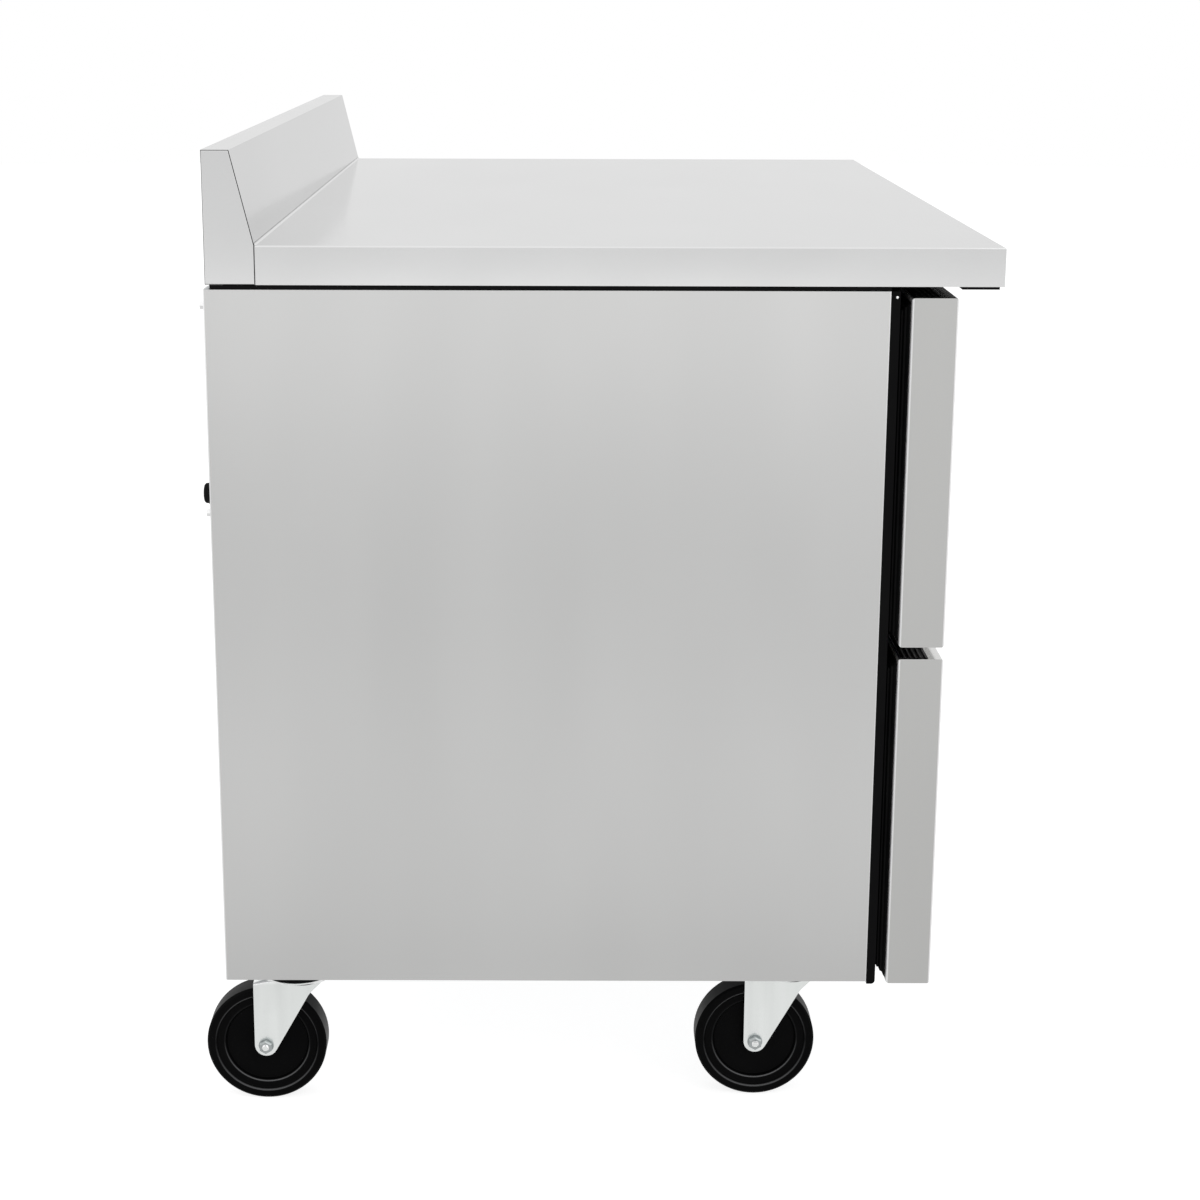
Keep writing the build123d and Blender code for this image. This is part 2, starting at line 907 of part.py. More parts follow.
def evaporator_housing():
    """The evaporator's housing with its fan opening, intake slots and drip floor."""
    half = housing_half - sheet
    with BuildPart() as housing:
        add(
            block(
                (-housing_half, housing_front_y, housing_z),
                (housing_half, upper_rear_y, housing_top_z),
            )
        )
        add(
            block(
                (-half, housing_front_y + sheet, housing_z + sheet),
                (half, upper_rear_y, housing_top_z - sheet),
            ),
            mode=Mode.SUBTRACT,
        )
        with BuildSketch(front_plane(housing_front_y + sheet)):
            with Locations((0, evaporator_mid_z)):
                Rectangle(housing_opening, housing_opening)
                with GridLocations(2 * intake_slot_x, intake_slot_pitch, 2, intake_slots):
                    Rectangle(intake_slot_length, intake_slot_height)
        extrude(amount=sheet, mode=Mode.SUBTRACT)
        add(line_passage(), mode=Mode.SUBTRACT)
    return housing.part


def fan_motors():
    """The two fan motors, each on a flat strap across the front of its coil."""
    with BuildPart() as motors:
        for x, y, z, strap_length in (
            (condenser_x, condenser_front_y, condenser_mid_z, condenser_height - 2 * sheet),
            (0, evaporator_front_y, evaporator_mid_z, evaporator_height),
        ):
            with BuildSketch(front_plane(y)):
                with Locations((x, z)):
                    Rectangle(strap_width, strap_length)
            extrude(amount=strap_sheet)
            with BuildSketch(front_plane(y - strap_sheet)) as stack:
                with Locations((x, z)):
                    Rectangle(motor_size, motor_size)
                chamfer(stack.vertices(), motor_size / 6)
            extrude(amount=motor_length)
    return motors.part


def fan_blade(tip_radius, tip_chord):
    """One pitched blade that widens from the hub to a tip with cut corners."""
    root = hub_radius - blade_sheet
    with BuildPart() as blade:
        with BuildSketch(floor_plane(-blade_sheet / 2)) as outline:
            with BuildLine():
                Polyline(
                    (tip_radius, -tip_chord / 2),
                    (root, -blade_root_chord / 2),
                    (root, blade_root_chord / 2),
                    (tip_radius, tip_chord / 2),
                    close=True,
                )
            make_face()
            chamfer(outline.vertices().group_by(Axis.X)[-1], blade_tip_chamfer)
        extrude(amount=blade_sheet)
    return blade.part.rotate(Axis.X, blade_pitch)


def fan(x, coil_y, z, tip_radius, tip_chord):
    """A fan wheel: a hub that runs in front of its motor, with pitched blades around it."""
    hub_y = coil_y - strap_sheet - motor_length - fit_gap
    with BuildPart() as wheel:
        Cylinder(hub_radius, hub_length, align=(Align.CENTER, Align.CENTER, Align.MIN))
        with Locations((0, 0, hub_length / 2)):
            with PolarLocations(0, blade_count):
                add(fan_blade(tip_radius, tip_chord))
    shaft = Plane(origin=(x, hub_y, z), x_dir=(1, 0, 0), z_dir=(0, -1, 0))
    return wheel.part.moved(shaft.location)


def compressor():
    """The hermetic compressor: an upright steel can on its folded bracket."""
    bracket_points = [
        (compressor_x - bracket_half_width, deck_z),
        (compressor_x - bracket_half_width, compressor_z),
        (compressor_x + bracket_half_width, compressor_z),
        (compressor_x + bracket_half_width, deck_z),
    ]
    with BuildPart() as can:
        with BuildSketch(floor_plane(compressor_z)):
            with Locations((compressor_x, line_y)):
                Circle(compressor_radius)
        extrude(amount=compressor_height)
        bracket_plane = front_plane(line_y + bracket_depth / 2)
        add(folded(bracket_points, bracket_plane, bracket_depth, Side.RIGHT))
    return can.part


def tube(points, radius):
    """A refrigerant line with mitred elbows."""
    start = Vector(*points[0])
    with BuildPart() as pipe:
        with BuildLine() as path:
            Polyline(*points)
        with BuildSketch(Plane(origin=start, z_dir=Vector(*points[1]) - start)):
            Circle(radius)
        sweep(path=path.line, transition=Transition.RIGHT)
    return pipe.part


def refrigerant_lines():
    """The discharge and suction lines, and the liquid line that enters the suction line."""
    condenser_end_x = condenser_x + condenser_width / 2
    discharge_z = compressor_top_z - line_drop
    liquid_z = condenser_z + condenser_height - line_drop / 2
    discharge = [
        (compressor_x - compressor_radius, line_y, discharge_z),
        (condenser_end_x, line_y, discharge_z),
    ]
    liquid = [
        (condenser_end_x, line_y, liquid_z),
        (line_x, line_y, liquid_z),
    ]
    suction = [
        (line_x, line_y, compressor_top_z),
        (line_x, line_y, evaporator_mid_z),
        (evaporator_width / 2, line_y, evaporator_mid_z),
    ]
    with BuildPart() as lines:
        add(tube(discharge, liquid_radius))
        add(tube(liquid, liquid_radius))
        add(tube(suction, suction_radius))
    return lines.part


def condensate_tray():
    """The open tray between compressor and side sheet where the melt water evaporates."""
    low_x = compressor_x + bracket_half_width + tray_compressor_gap
    high_x = panel_half - tray_side_gap
    mid_y = (machine_front_y + back_y) / 2
    with BuildPart() as tray:
        with BuildSketch(floor_plane(deck_z)) as outline:
            with Locations(((low_x + high_x) / 2, mid_y)):
                Rectangle(high_x - low_x, tray_depth)
            chamfer(outline.vertices(), tray_corner)
        extrude(amount=tray_height)
        offset(
            amount=-sheet,
            openings=tray.faces().sort_by(Axis.Z)[-1],
            kind=Kind.INTERSECTION,
            mode=Mode.REPLACE,
        )
    return tray.part


def controller():
    """The temperature controller on the rear wall, with a sunk display window."""
    with BuildPart() as box:
        with BuildSketch(front_plane(upper_rear_y)) as outline:
            with Locations((controller_x, evaporator_mid_z)):
                Rectangle(controller_width, controller_height)
            chamfer(outline.vertices(), controller_corner)
        extrude(amount=controller_depth)
        with BuildSketch(front_plane(upper_rear_y - controller_depth)):
            with Locations((controller_x, evaporator_mid_z)):
                Rectangle(controller_width / 2, controller_height / 2)
        extrude(amount=-controller_window, mode=Mode.SUBTRACT)
    return box.part


# Fittings


def rear_bumpers():
    """The round rubber buffers near the upper rear edges, proud of the back."""
    with BuildPart() as bumpers:
        with BuildSketch(front_plane(body_rear_y)):
            for sign in columns.values():
                with Locations((sign * (body_half - bumper_edge), step_z + bumper_rise)):
                    Circle(bumper_radius)
        extrude(amount=-bumper_reach)
    return bumpers.part


def rear_screws():
    """The hex-head screws along the edges of the back and of the grille."""
    edge_x = body_half - screw_edge
    grille_x = body_half - rear_flange - 2 * screw_edge
    low_z = body_bottom_z + screw_edge + grille_base_gap
    with BuildPart() as screws:
        with BuildSketch(front_plane(body_rear_y)):
            for sign in columns.values():
                with Locations(
                    (sign * edge_x, body_top_z - screw_top_drop),
                    (sign * edge_x, step_z + screw_rise),
                    (sign * grille_x, step_z - screw_edge),
                    (sign * grille_x, low_z),
                ):
                    RegularPolygon(screw_head / 2, 6, major_radius=False)
        extrude(amount=-screw_head_height)
    return screws.part


def caster_bolts():
    """The sixteen hex heads that hold the caster plates to the base."""
    with BuildPart() as bolts:
        with BuildSketch(floor_plane(plate_z)):
            for sign, x, y in casters.values():
                with Locations((sign * x, y)):
                    with GridLocations(plate_bolt_pitch_x, plate_bolt_pitch_y, 2, 2):
                        RegularPolygon(bolt_head / 2, 6, major_radius=False)
        extrude(amount=-bolt_head_height)
    return bolts.part


# Casters


def caster_plates():
    """The four mounting plates, each with its round ball race underneath."""
    with BuildPart() as plates:
        for sign, x, y in casters.values():
            with BuildSketch(floor_plane(plate_z)) as outline:
                with Locations((sign * x, y)):
                    Rectangle(plate_width, plate_length)
                chamfer(outline.vertices(), plate_corner)
            extrude(amount=plate_sheet)
            with BuildSketch(floor_plane(plate_z)):
                with Locations((sign * x, y)):
                    Circle(race_radius)
            extrude(amount=-race_height)
    return plates.part


def crown_line(y):
    """The top of a fork from the side: level under the race, then falling to the rear."""
    return [
        (y - crown_reach, crown_z),
        (y + crown_reach, crown_z),
        (y + caster_trail + leg_round, crown_z - crown_fall),
    ]


def leg_section(x, y):
    """One fork leg from the side: an upright rear edge, a slanted front and a round foot."""
    axle_y = y + caster_trail
    shoulder = (y - leg_shoulder_reach, crown_z - leg_shoulder_drop)
    run, rise = shoulder[0] - axle_y, shoulder[1] - wheel_radius
    angle = atan2(rise, run) + acos(leg_round / hypot(run, rise))
    touch = (axle_y + leg_round * cos(angle), wheel_radius + leg_round * sin(angle))
    low = radians(-45)
    foot = (axle_y + leg_round * cos(low), wheel_radius + leg_round * sin(low))
    with BuildSketch(side_plane(x)) as leg:
        with BuildLine():
            ThreePointArc((axle_y + leg_round, wheel_radius), foot, touch)
            Polyline(touch, shoulder, *crown_line(y), (axle_y + leg_round, wheel_radius))
        make_face()
    return leg.sketch


def caster_fork(sign, x, y):
    """The swivel fork: a round crown under the race, two slanted legs and the axle bolt."""
    axle_y = y + caster_trail
    centre_x = sign * x
    with BuildPart() as fork:
        with BuildSketch(floor_plane(crown_z)):
            with Locations((centre_x, y)):
                RegularPolygon(crown_radius, crown_sides)
        extrude(amount=-fork_sheet)
        with BuildSketch(side_plane(centre_x)):
            with BuildLine():
                top = crown_line(y)[1:]
                Polyline(*top, *[(p, q - fork_sheet) for p, q in reversed(top)], close=True)
            make_face()
        extrude(amount=fork_outer, both=True)
        for leg_x in (centre_x - fork_outer, centre_x + fork_gap_half):
            extrude(to_extrude=leg_section(leg_x, y), amount=fork_sheet)
        with BuildSketch(side_plane(centre_x)):
            with Locations((axle_y, wheel_radius)):
                Circle(axle_radius)
        extrude(amount=fork_gap_half, both=True)
        for side in (-1, 1):
            with BuildSketch(side_plane(centre_x + side * fork_outer)):
                with Locations((axle_y, wheel_radius)):
                    RegularPolygon(axle_head / 2, 6, major_radius=False)
            extrude(amount=side * axle_head_height)
    return fork.part


def caster_wheel(sign, x, y):
    """The solid wheel, bored for the axle."""
    with BuildPart() as wheel:
        with BuildSketch(side_plane(sign * x)):
            with Locations((y + caster_trail, wheel_radius)):
                Circle(wheel_radius)
                Circle(axle_radius + wheel_bore_ease, mode=Mode.SUBTRACT)
        extrude(amount=wheel_width / 2, both=True)
    return wheel.part


save(worktop_skin(), "worktop_skin")
save(worktop_core(), "worktop_core")
save(backsplash(), "backsplash")
save(splash_end_caps(), "splash_end_caps")
save(closure_strip(), "closure_strip")
save(nosing_strip(), "nosing_strip")
save(side_panel(-1), "side_panel_left")
save(side_panel(1), "side_panel_right")
save(back_panel(), "back_panel")
save(base_pan(), "base_pan")
save(cabinet_liner(), "cabinet_liner")
save(foam_insulation(), "foam_insulation")
save(face_frame(), "face_frame")
save(slide_posts(), "slide_posts")
save(cabinet_rails(), "cabinet_rails")
save(rear_grille(), "rear_grille")
save(condenser_coil(), "condenser_coil")
save(condenser_duct(), "condenser_duct")
save(evaporator_coil(), "evaporator_coil")
save(evaporator_housing(), "evaporator_housing")
save(fan_motors(), "fan_motors")
condenser_fan = fan(
    condenser_x, condenser_front_y, condenser_mid_z, condenser_fan_radius, condenser_blade_chord
)
save(condenser_fan, "condenser_fan")
evaporator_fan = fan(
    0, evaporator_front_y, evaporator_mid_z, evaporator_fan_radius, evaporator_blade_chord
)
save(evaporator_fan, "evaporator_fan")
save(compressor(), "compressor")
save(refrigerant_lines(), "refrigerant_lines")
save(condensate_tray(), "condensate_tray")
save(controller(), "temperature_controller")
save(rear_bumpers(), "rear_bumpers")
save(rear_screws(), "rear_screws")
save(caster_bolts(), "caster_bolts")
save(caster_plates(), "caster_plates")

for column, sign in columns.items():
    for level, row in rows.items():
        place = f"{level}_{column}"
        save(front_skin(sign, row), f"drawer_skin_{place}")
        save(front_core(sign, row), f"drawer_core_{place}")
        save(gasket(sign, row), f"drawer_gasket_{place}")
        save(pan_cradle(sign, row), f"pan_cradle_{place}")
        save(slide_members(sign, row), f"slide_members_{place}")

for place, (sign, x, y) in casters.items():
    save(caster_fork(sign, x, y), f"caster_fork_{place}")
    save(caster_wheel(sign, x, y), f"caster_wheel_{place}")
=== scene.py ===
import json
import math

import bmesh
import bpy
from mathutils import Matrix, Vector


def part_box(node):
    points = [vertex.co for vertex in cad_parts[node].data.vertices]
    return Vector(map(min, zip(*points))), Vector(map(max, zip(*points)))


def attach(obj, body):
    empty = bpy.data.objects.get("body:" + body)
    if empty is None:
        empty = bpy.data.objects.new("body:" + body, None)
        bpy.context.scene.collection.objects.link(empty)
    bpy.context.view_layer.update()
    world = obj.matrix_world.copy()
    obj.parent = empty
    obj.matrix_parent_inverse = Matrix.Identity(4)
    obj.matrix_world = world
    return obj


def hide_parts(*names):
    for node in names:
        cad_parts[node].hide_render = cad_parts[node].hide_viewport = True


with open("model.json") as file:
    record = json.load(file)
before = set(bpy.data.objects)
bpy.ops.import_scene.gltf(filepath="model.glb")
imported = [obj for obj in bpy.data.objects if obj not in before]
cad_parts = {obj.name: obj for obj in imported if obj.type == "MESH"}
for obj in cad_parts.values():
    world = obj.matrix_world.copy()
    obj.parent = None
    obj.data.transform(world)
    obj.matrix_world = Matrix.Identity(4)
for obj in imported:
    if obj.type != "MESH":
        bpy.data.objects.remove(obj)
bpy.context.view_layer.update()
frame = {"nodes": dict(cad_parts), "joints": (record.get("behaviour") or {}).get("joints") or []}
places = ["lower_left", "upper_left", "lower_right", "upper_right"]
corners = ["front_left", "front_right", "rear_left", "rear_right"]
print("frame loaded:", len(frame["nodes"]), "nodes")


# Shader tools


class Wire:
    # one output socket, so that maths on surfaces reads as plain expressions
    def __init__(self, graph, socket):
        self.graph = graph
        self.socket = socket

    def __add__(self, other):
        return self.graph.math("ADD", self, other)

    def __radd__(self, other):
        return self.graph.math("ADD", other, self)

    def __sub__(self, other):
        return self.graph.math("SUBTRACT", self, other)

    def __rsub__(self, other):
        return self.graph.math("SUBTRACT", other, self)

    def __mul__(self, other):
        return self.graph.math("MULTIPLY", self, other)

    def __rmul__(self, other):
        return self.graph.math("MULTIPLY", other, self)

    def orMore(self, other):
        return self.graph.math("MAXIMUM", self, other)

    def part(self, name):
        return Wire(self.graph, self.socket.node.outputs[name])


foldMask = {"gain": 16.0, "start": 0.5}  # how sharply a painted highlight band begins at a fold


class Graph:
    # the node tree of one material or world
    def __init__(self, owner):
        owner.use_nodes = True
        self.owner = owner
        self.tree = owner.node_tree
        self.tree.nodes.clear()

    def math(self, operation, left, right=0.0):
        return self.add("Math", {"operation": operation}, {0: left, 1: right})

    def add(self, kind, settings=None, sockets=None, out=0):
        node = self.tree.nodes.new("ShaderNode" + kind)
        for name, value in (settings or {}).items():
            if name == "stops":
                self.setStops(node.color_ramp, value)
            else:
                setattr(node, name, value)
        for name, value in (sockets or {}).items():
            if isinstance(value, Wire):
                self.tree.links.new(value.socket, node.inputs[name])
            else:
                node.inputs[name].default_value = value
        return Wire(self, node.outputs[out]) if node.outputs else node

    def setStops(self, ramp, stops):
        while len(ramp.elements) < len(stops):
            ramp.elements.new(1.0)
        for element, (place, grey) in zip(ramp.elements, stops):
            element.position = place
            element.color = (grey, grey, grey, 1.0)

    def place(self):
        return self.add("TexCoord", out="Object")

    def stretched(self, factors):
        return self.add("VectorMath", {"operation": "MULTIPLY"}, {0: self.place(), 1: factors})

    def noise(self, factors, detail=2.0, rough=0.5):
        return self.add(
            "TexNoise",
            {"normalize": True},
            {"Vector": self.stretched(factors), "Scale": 1.0, "Detail": detail, "Roughness": rough},
        )

    def folds(self):
        # 1 where the surface turns between the object's main directions, 0 on its flat faces
        facing = self.add("SeparateXYZ", None, {"Vector": self.add("TexCoord", out="Normal")}, out="X")
        x, y, z = (self.math("ABSOLUTE", facing.part(axis)) for axis in "XYZ")
        turned = (1.0 - x.orMore(y).orMore(z)) * foldMask["gain"] - foldMask["start"]
        return self.math("MINIMUM", turned.orMore(0.0), 1.0)

    def ramp(self, wire, stops):
        return self.add("ValToRGB", {"stops": stops}, {"Fac": wire})

    def mixed(self, factor, first, second):
        return self.add("Mix", {"data_type": "RGBA"}, {0: factor, 6: first, 7: second}, out=2)

    def bump(self, height, strength, distance):
        return self.add("Bump", None, {"Height": height, "Strength": strength, "Distance": distance})

    def surface(self, sockets):
        shader = self.add("BsdfPrincipled", None, sockets)
        self.add("OutputMaterial", None, {"Surface": shader})
        return self.owner


def newGraph(name):
    return Graph(bpy.data.materials.new(name))


def rgba(colour, gain=1.0):
    return tuple(channel * gain for channel in colour) + (1.0,)


def middle(node):
    low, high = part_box(node)
    return (low + high) / 2


# Sheet steel: grain runs along one axis under soft clouds and smudges, and the folds carry a painted
# highlight


topSteel = {
    "name": "topSteel",
    "colour": (0.690, 0.692, 0.692),
    "roughness": 0.10,
    "grain": (4.0, 1100.0, 1100.0),
    "grainDepth": 0.00001,
    "grainTone": 0.05,
    "clouds": (3.0, 7.0, 7.0),
    "cloudTone": 0.12,
    "smudge": 0.03,
    "burnish": 0.35,
    "edgeTint": 0.92,
}

sideSteel = {
    "name": "sideSteel",
    "colour": (0.70, 0.70, 0.695),
    "roughness": 0.21,
    "grain": (900.0, 5.0, 900.0),
    "grainDepth": 0.000004,
    "grainTone": 0.02,
    "clouds": (3.0, 8.0, 2.0),
    "cloudTone": 0.13,
    "smudge": 0.02,
    "burnish": 1.0,
    "edgeTint": 1.0,
}

drawerSteel = {
    "name": "drawerSteel",
    "colour": (0.60, 0.60, 0.59),
    "roughness": 0.50,
    "levelRoughness": 0.12,
    "grain": (5.0, 900.0, 900.0),
    "grainDepth": 0.00001,
    "grainTone": 0.07,
    "clouds": (3.0, 14.0, 3.0),
    "cloudTone": 0.05,
    "smudge": 0.06,
    "burnish": 1.0,
    "edgeTint": 1.0,
}

linerSteel = {
    "name": "linerSteel",
    "colour": (0.62, 0.625, 0.63),
    "roughness": 0.28,
    "grain": (6.0, 6.0, 700.0),
    "grainDepth": 0.00001,
    "grainTone": 0.08,
    "clouds": (4.0, 4.0, 4.0),
    "cloudTone": 0.06,
    "smudge": 0.05,
    "burnish": 0.5,
    "edgeTint": 1.0,
}

slideSteel = {
    "name": "slideSteel",
    "colour": (0.58, 0.585, 0.59),
    "roughness": 0.27,
    "grain": (900.0, 8.0, 900.0),
    "grainDepth": 0.0000015,
    "grainTone": 0.02,
    "clouds": (5.0, 2.0, 5.0),
    "cloudTone": 0.06,
    "smudge": 0.03,
    "burnish": 0.5,
    "edgeTint": 1.0,
}

rolling = {
    "smudgeScale": (6.0, 6.0, 6.0),
    "smudgeStops": [(0.40, 0.0), (0.80, 1.0)],
    "grainStrength": 0.35,
    "darkGain": 0.5,
    "lightGain": 1.5,
    "polish": (0.97, 0.97, 0.97),
    "levelGain": 4.0,
    "levelStart": 3.0,
}


def steel(look):
    graph = newGraph(look["name"])
    grain = graph.noise(look["grain"], detail=3.0, rough=0.6)
    clouds = graph.noise(look["clouds"], detail=1.5)
    smudges = graph.ramp(graph.noise(rolling["smudgeScale"], detail=1.0), rolling["smudgeStops"])
    tone = (grain - 0.5) * look["grainTone"] + (clouds - 0.5) * look["cloudTone"] + 0.5
    low = rgba(look["colour"], rolling["darkGain"])
    high = rgba(look["colour"], rolling["lightGain"])
    roughness = smudges * look["smudge"] + (grain - 0.5) * look["grainTone"] + look["roughness"]
    if "levelRoughness" in look:  # the folded top and bottom faces keep their mill finish
        normal = graph.add("NewGeometry", out="Normal")
        upright = graph.add("SeparateXYZ", None, {"Vector": normal}, out="Z")
        level = graph.math("ABSOLUTE", upright) * rolling["levelGain"] - rolling["levelStart"]
        roughness = roughness - level.orMore(0.0) * (look["roughness"] - look["levelRoughness"])
    # painted highlight: the folds are mixed towards near-white, standing in for the light they catch
    burnish = graph.folds() * look["burnish"]
    sheet = graph.mixed(tone, low, high)
    return graph.surface(
        {
            "Base Color": graph.mixed(burnish, sheet, rgba(rolling["polish"])),
            "Metallic": 1.0,
            "Specular Tint": rgba((look["edgeTint"],) * 3),
            "Roughness": roughness,
            "Normal": graph.bump(grain, rolling["grainStrength"], look["grainDepth"]),
        }
    )


# Zinc and bare aluminium show their crystals as pale and dark flakes under a soft haze, and the bright
# plating has a painted highlight on its folds


galvanised = {
    "name": "galvanisedSheet",
    "colour": (0.55, 0.565, 0.575),
    "roughness": 0.36,
    "flake": 130.0,
    "flakeTone": 0.12,
}

zincPlate = {
    "name": "zincPlate",
    "colour": (0.95, 0.975, 0.96),
    "roughness": 0.24,
    "flake": 420.0,
    "flakeTone": 0.02,
    "bands": (0.0, 70.0, 5.0),
    "bandTone": 0.7,
    "edgeLift": 1.0,
}

boltZinc = {
    "name": "boltZinc",
    "colour": (0.46, 0.49, 0.49),
    "roughness": 0.30,
    "flake": 420.0,
    "flakeTone": 0.04,
}

aluminium = {
    "name": "aluminium",
    "colour": (0.66, 0.67, 0.68),
    "roughness": 0.32,
    "flake": 260.0,
    "flakeTone": 0.06,
}

plating = {
    "hazeScale": (14.0, 14.0, 14.0),
    "hazeTone": 0.06,
    "darkGain": 0.88,
    "lightGain": 1.12,
    "hazeStrength": 0.12,
    "hazeDepth": 0.0004,
}


def zinc(look):
    graph = newGraph(look["name"])
    flakes = graph.add(
        "TexVoronoi",
        {"feature": "F1"},
        {"Vector": graph.place(), "Scale": look["flake"], "Randomness": 1.0},
        out="Color",
    )
    grey = graph.add("RGBToBW", None, {"Color": flakes})
    haze = graph.noise(plating["hazeScale"], detail=3.0)
    tone = (grey - 0.5) * look["flakeTone"] + (haze - 0.5) * plating["hazeTone"] + 0.5
    if "bands" in look:
        tone = tone + (graph.noise(look["bands"], detail=1.0) - 0.5) * look["bandTone"]
    dark = rgba(look["colour"], plating["darkGain"])
    light = rgba(look["colour"], plating["lightGain"])
    colour = graph.mixed(tone, dark, light)
    # painted highlight: folds and edges are mixed towards white, standing in for the light they catch
    if "edgeLift" in look:
        colour = graph.mixed(graph.folds() * look["edgeLift"], colour, rgba((1.0, 1.0, 1.0)))
    return graph.surface(
        {
            "Base Color": colour,
            "Metallic": 1.0,
            "Roughness": grey * look["flakeTone"] + look["roughness"],
            "Normal": graph.bump(haze, plating["hazeStrength"], plating["hazeDepth"]),
        }
    )


# Black parts: fine moulded texture, dust and uneven sheen, and painted highlights on the wheels' rings


frameBlack = {
    "name": "frameBlack",
    "colour": (0.0015, 0.0015, 0.0018),
    "dust": (0.004, 0.004, 0.004),
    "roughness": 0.34,
    "specular": 0.07,
    "pebble": 700.0,
    "depth": 0.00005,
}

sealBlack = {
    "name": "sealBlack",
    "colour": (0.004, 0.004, 0.0045),
    "dust": (0.011, 0.011, 0.011),
    "roughness": 0.55,
    "specular": 0.08,
    "pebble": 400.0,
    "depth": 0.00004,
}

wheelBlack = {
    "name": "wheelBlack",
    "colour": (0.0016, 0.0016, 0.0018),
    "dust": (0.0036, 0.0036, 0.0036),
    "roughness": 0.30,
    "specular": 0.04,
    "pebble": 300.0,
    "depth": 0.00006,
    "rings": ((0.0452, 0.0010, 0.9, 0.0), (0.0543, 0.0010, 0.7, 0.6)),
    "ringTone": (0.20, 0.20, 0.205),
    "ringHaze": 0.06,
}

enamelBlack = {
    "name": "enamelBlack",
    "colour": (0.010, 0.010, 0.011),
    "dust": (0.03, 0.029, 0.027),
    "roughness": 0.28,
    "specular": 0.4,
    "pebble": 180.0,
    "depth": 0.00008,
}

controllerGrey = {
    "name": "controllerGrey",
    "colour": (0.03, 0.032, 0.035),
    "dust": (0.05, 0.05, 0.05),
    "roughness": 0.40,
    "specular": 0.35,
    "pebble": 900.0,
    "depth": 0.00005,
}


def paintedRingHighlights(graph, look):
    # painted highlights along the turned edges, lighter low or high on the wheel where light falls on
    # them: each ring has its radius, width and share below and above
    spots = [middle("caster_wheel_front_left"), middle("caster_wheel_rear_left")]
    centre = (spots[0] + spots[1]) / 2
    half = abs(spots[0].y - spots[1].y) / 2
    spot = graph.add("SeparateXYZ", None, {"Vector": graph.place()}, out="Y")
    across = graph.math("ABSOLUTE", spot - centre.y) - half
    up = spot.part("Z") - centre.z
    radius = graph.math("SQRT", across * across + up * up)
    sheenAndWear = 0.0
    for ring, width, below, above in look["rings"]:
        near = 1.0 - graph.math("ABSOLUTE", radius - ring) * (1.0 / width)
        lit = (up * (above / ring)).orMore(up * (-below / ring)) + look["ringHaze"]
        sheenAndWear = (near.orMore(0.0) * lit.orMore(0.0)).orMore(sheenAndWear)
    return sheenAndWear


moulding = {
    "dustScale": (9.0, 9.0, 9.0),
    "dustStops": [(0.42, 0.0), (0.78, 1.0)],
    "dustRough": 0.18,
    "pebbleRough": 0.10,
    "pebbleStrength": 0.25,
}


def blackPart(look):
    graph = newGraph(look["name"])
    pebble = graph.noise((look["pebble"],) * 3, detail=2.0)
    dirt = graph.noise(moulding["dustScale"], detail=5.0, rough=0.6)
    dust = graph.ramp(dirt, moulding["dustStops"])
    sheenAndWear = dust * moulding["dustRough"] + (pebble - 0.5) * moulding["pebbleRough"]
    colour = graph.mixed(dust, rgba(look["colour"]), rgba(look["dust"]))
    if "rings" in look:
        # painted highlight rings on the wheels' turned edges
        colour = graph.mixed(paintedRingHighlights(graph, look), colour, rgba(look["ringTone"]))
    return graph.surface(
        {
            "Base Color": colour,
            "Metallic": 0.0,
            "Roughness": sheenAndWear + look["roughness"],
            "Specular IOR Level": look["specular"],
            "Normal": graph.bump(pebble, moulding["pebbleStrength"], look["depth"]),
        }
    )


# Foam and board have closed cells, and drawn copper is slightly tarnished


foam = {
    "name": "foamedCore",
    "colour": (0.72, 0.62, 0.36),
    "shade": (0.56, 0.46, 0.24),
    "cell": 320.0,
}

boardBlack = {
    "name": "boardBlack",
    "colour": (0.012, 0.012, 0.012),
    "shade": (0.006, 0.006, 0.006),
    "cell": 500.0,
}

copper = {
    "name": "drawnCopper",
    "colour": (0.72, 0.36, 0.22),
    "tarnish": (0.36, 0.17, 0.11),
    "tarnishScale": (40.0, 40.0, 12.0),
    "tarnishStops": [(0.4, 0.0), (0.7, 1.0)],
    "tarnishRough": 0.25,
    "roughness": 0.25,
    "lines": (600.0, 600.0, 600.0),
    "lineStrength": 0.1,
    "lineDepth": 0.0001,
}

closedCells = {
    "stainScale": (7.0, 7.0, 7.0),
    "roughness": 0.82,
    "cellRough": 0.1,
    "cellStrength": 0.5,
    "cellDepth": 0.0006,
}


def foamedCore(look):
    graph = newGraph(look["name"])
    cells = graph.add(
        "TexVoronoi", {"feature": "F1"}, {"Vector": graph.place(), "Scale": look["cell"]}
    )
    stains = graph.noise(closedCells["stainScale"], detail=3.0)
    return graph.surface(
        {
            "Base Color": graph.mixed(stains, rgba(look["shade"]), rgba(look["colour"])),
            "Roughness": cells * closedCells["cellRough"] + closedCells["roughness"],
            "Normal": graph.bump(cells, closedCells["cellStrength"], closedCells["cellDepth"]),
        }
    )


def drawnCopper(look):
    graph = newGraph(look["name"])
    stains = graph.noise(look["tarnishScale"], detail=4.0)
    tarnish = graph.ramp(stains, look["tarnishStops"])
    lines = graph.noise(look["lines"])
    return graph.surface(
        {
            "Base Color": graph.mixed(tarnish, rgba(look["colour"]), rgba(look["tarnish"])),
            "Metallic": 1.0,
            "Roughness": tarnish * look["tarnishRough"] + look["roughness"],
            "Normal": graph.bump(lines, look["lineStrength"], look["lineDepth"]),
        }
    )


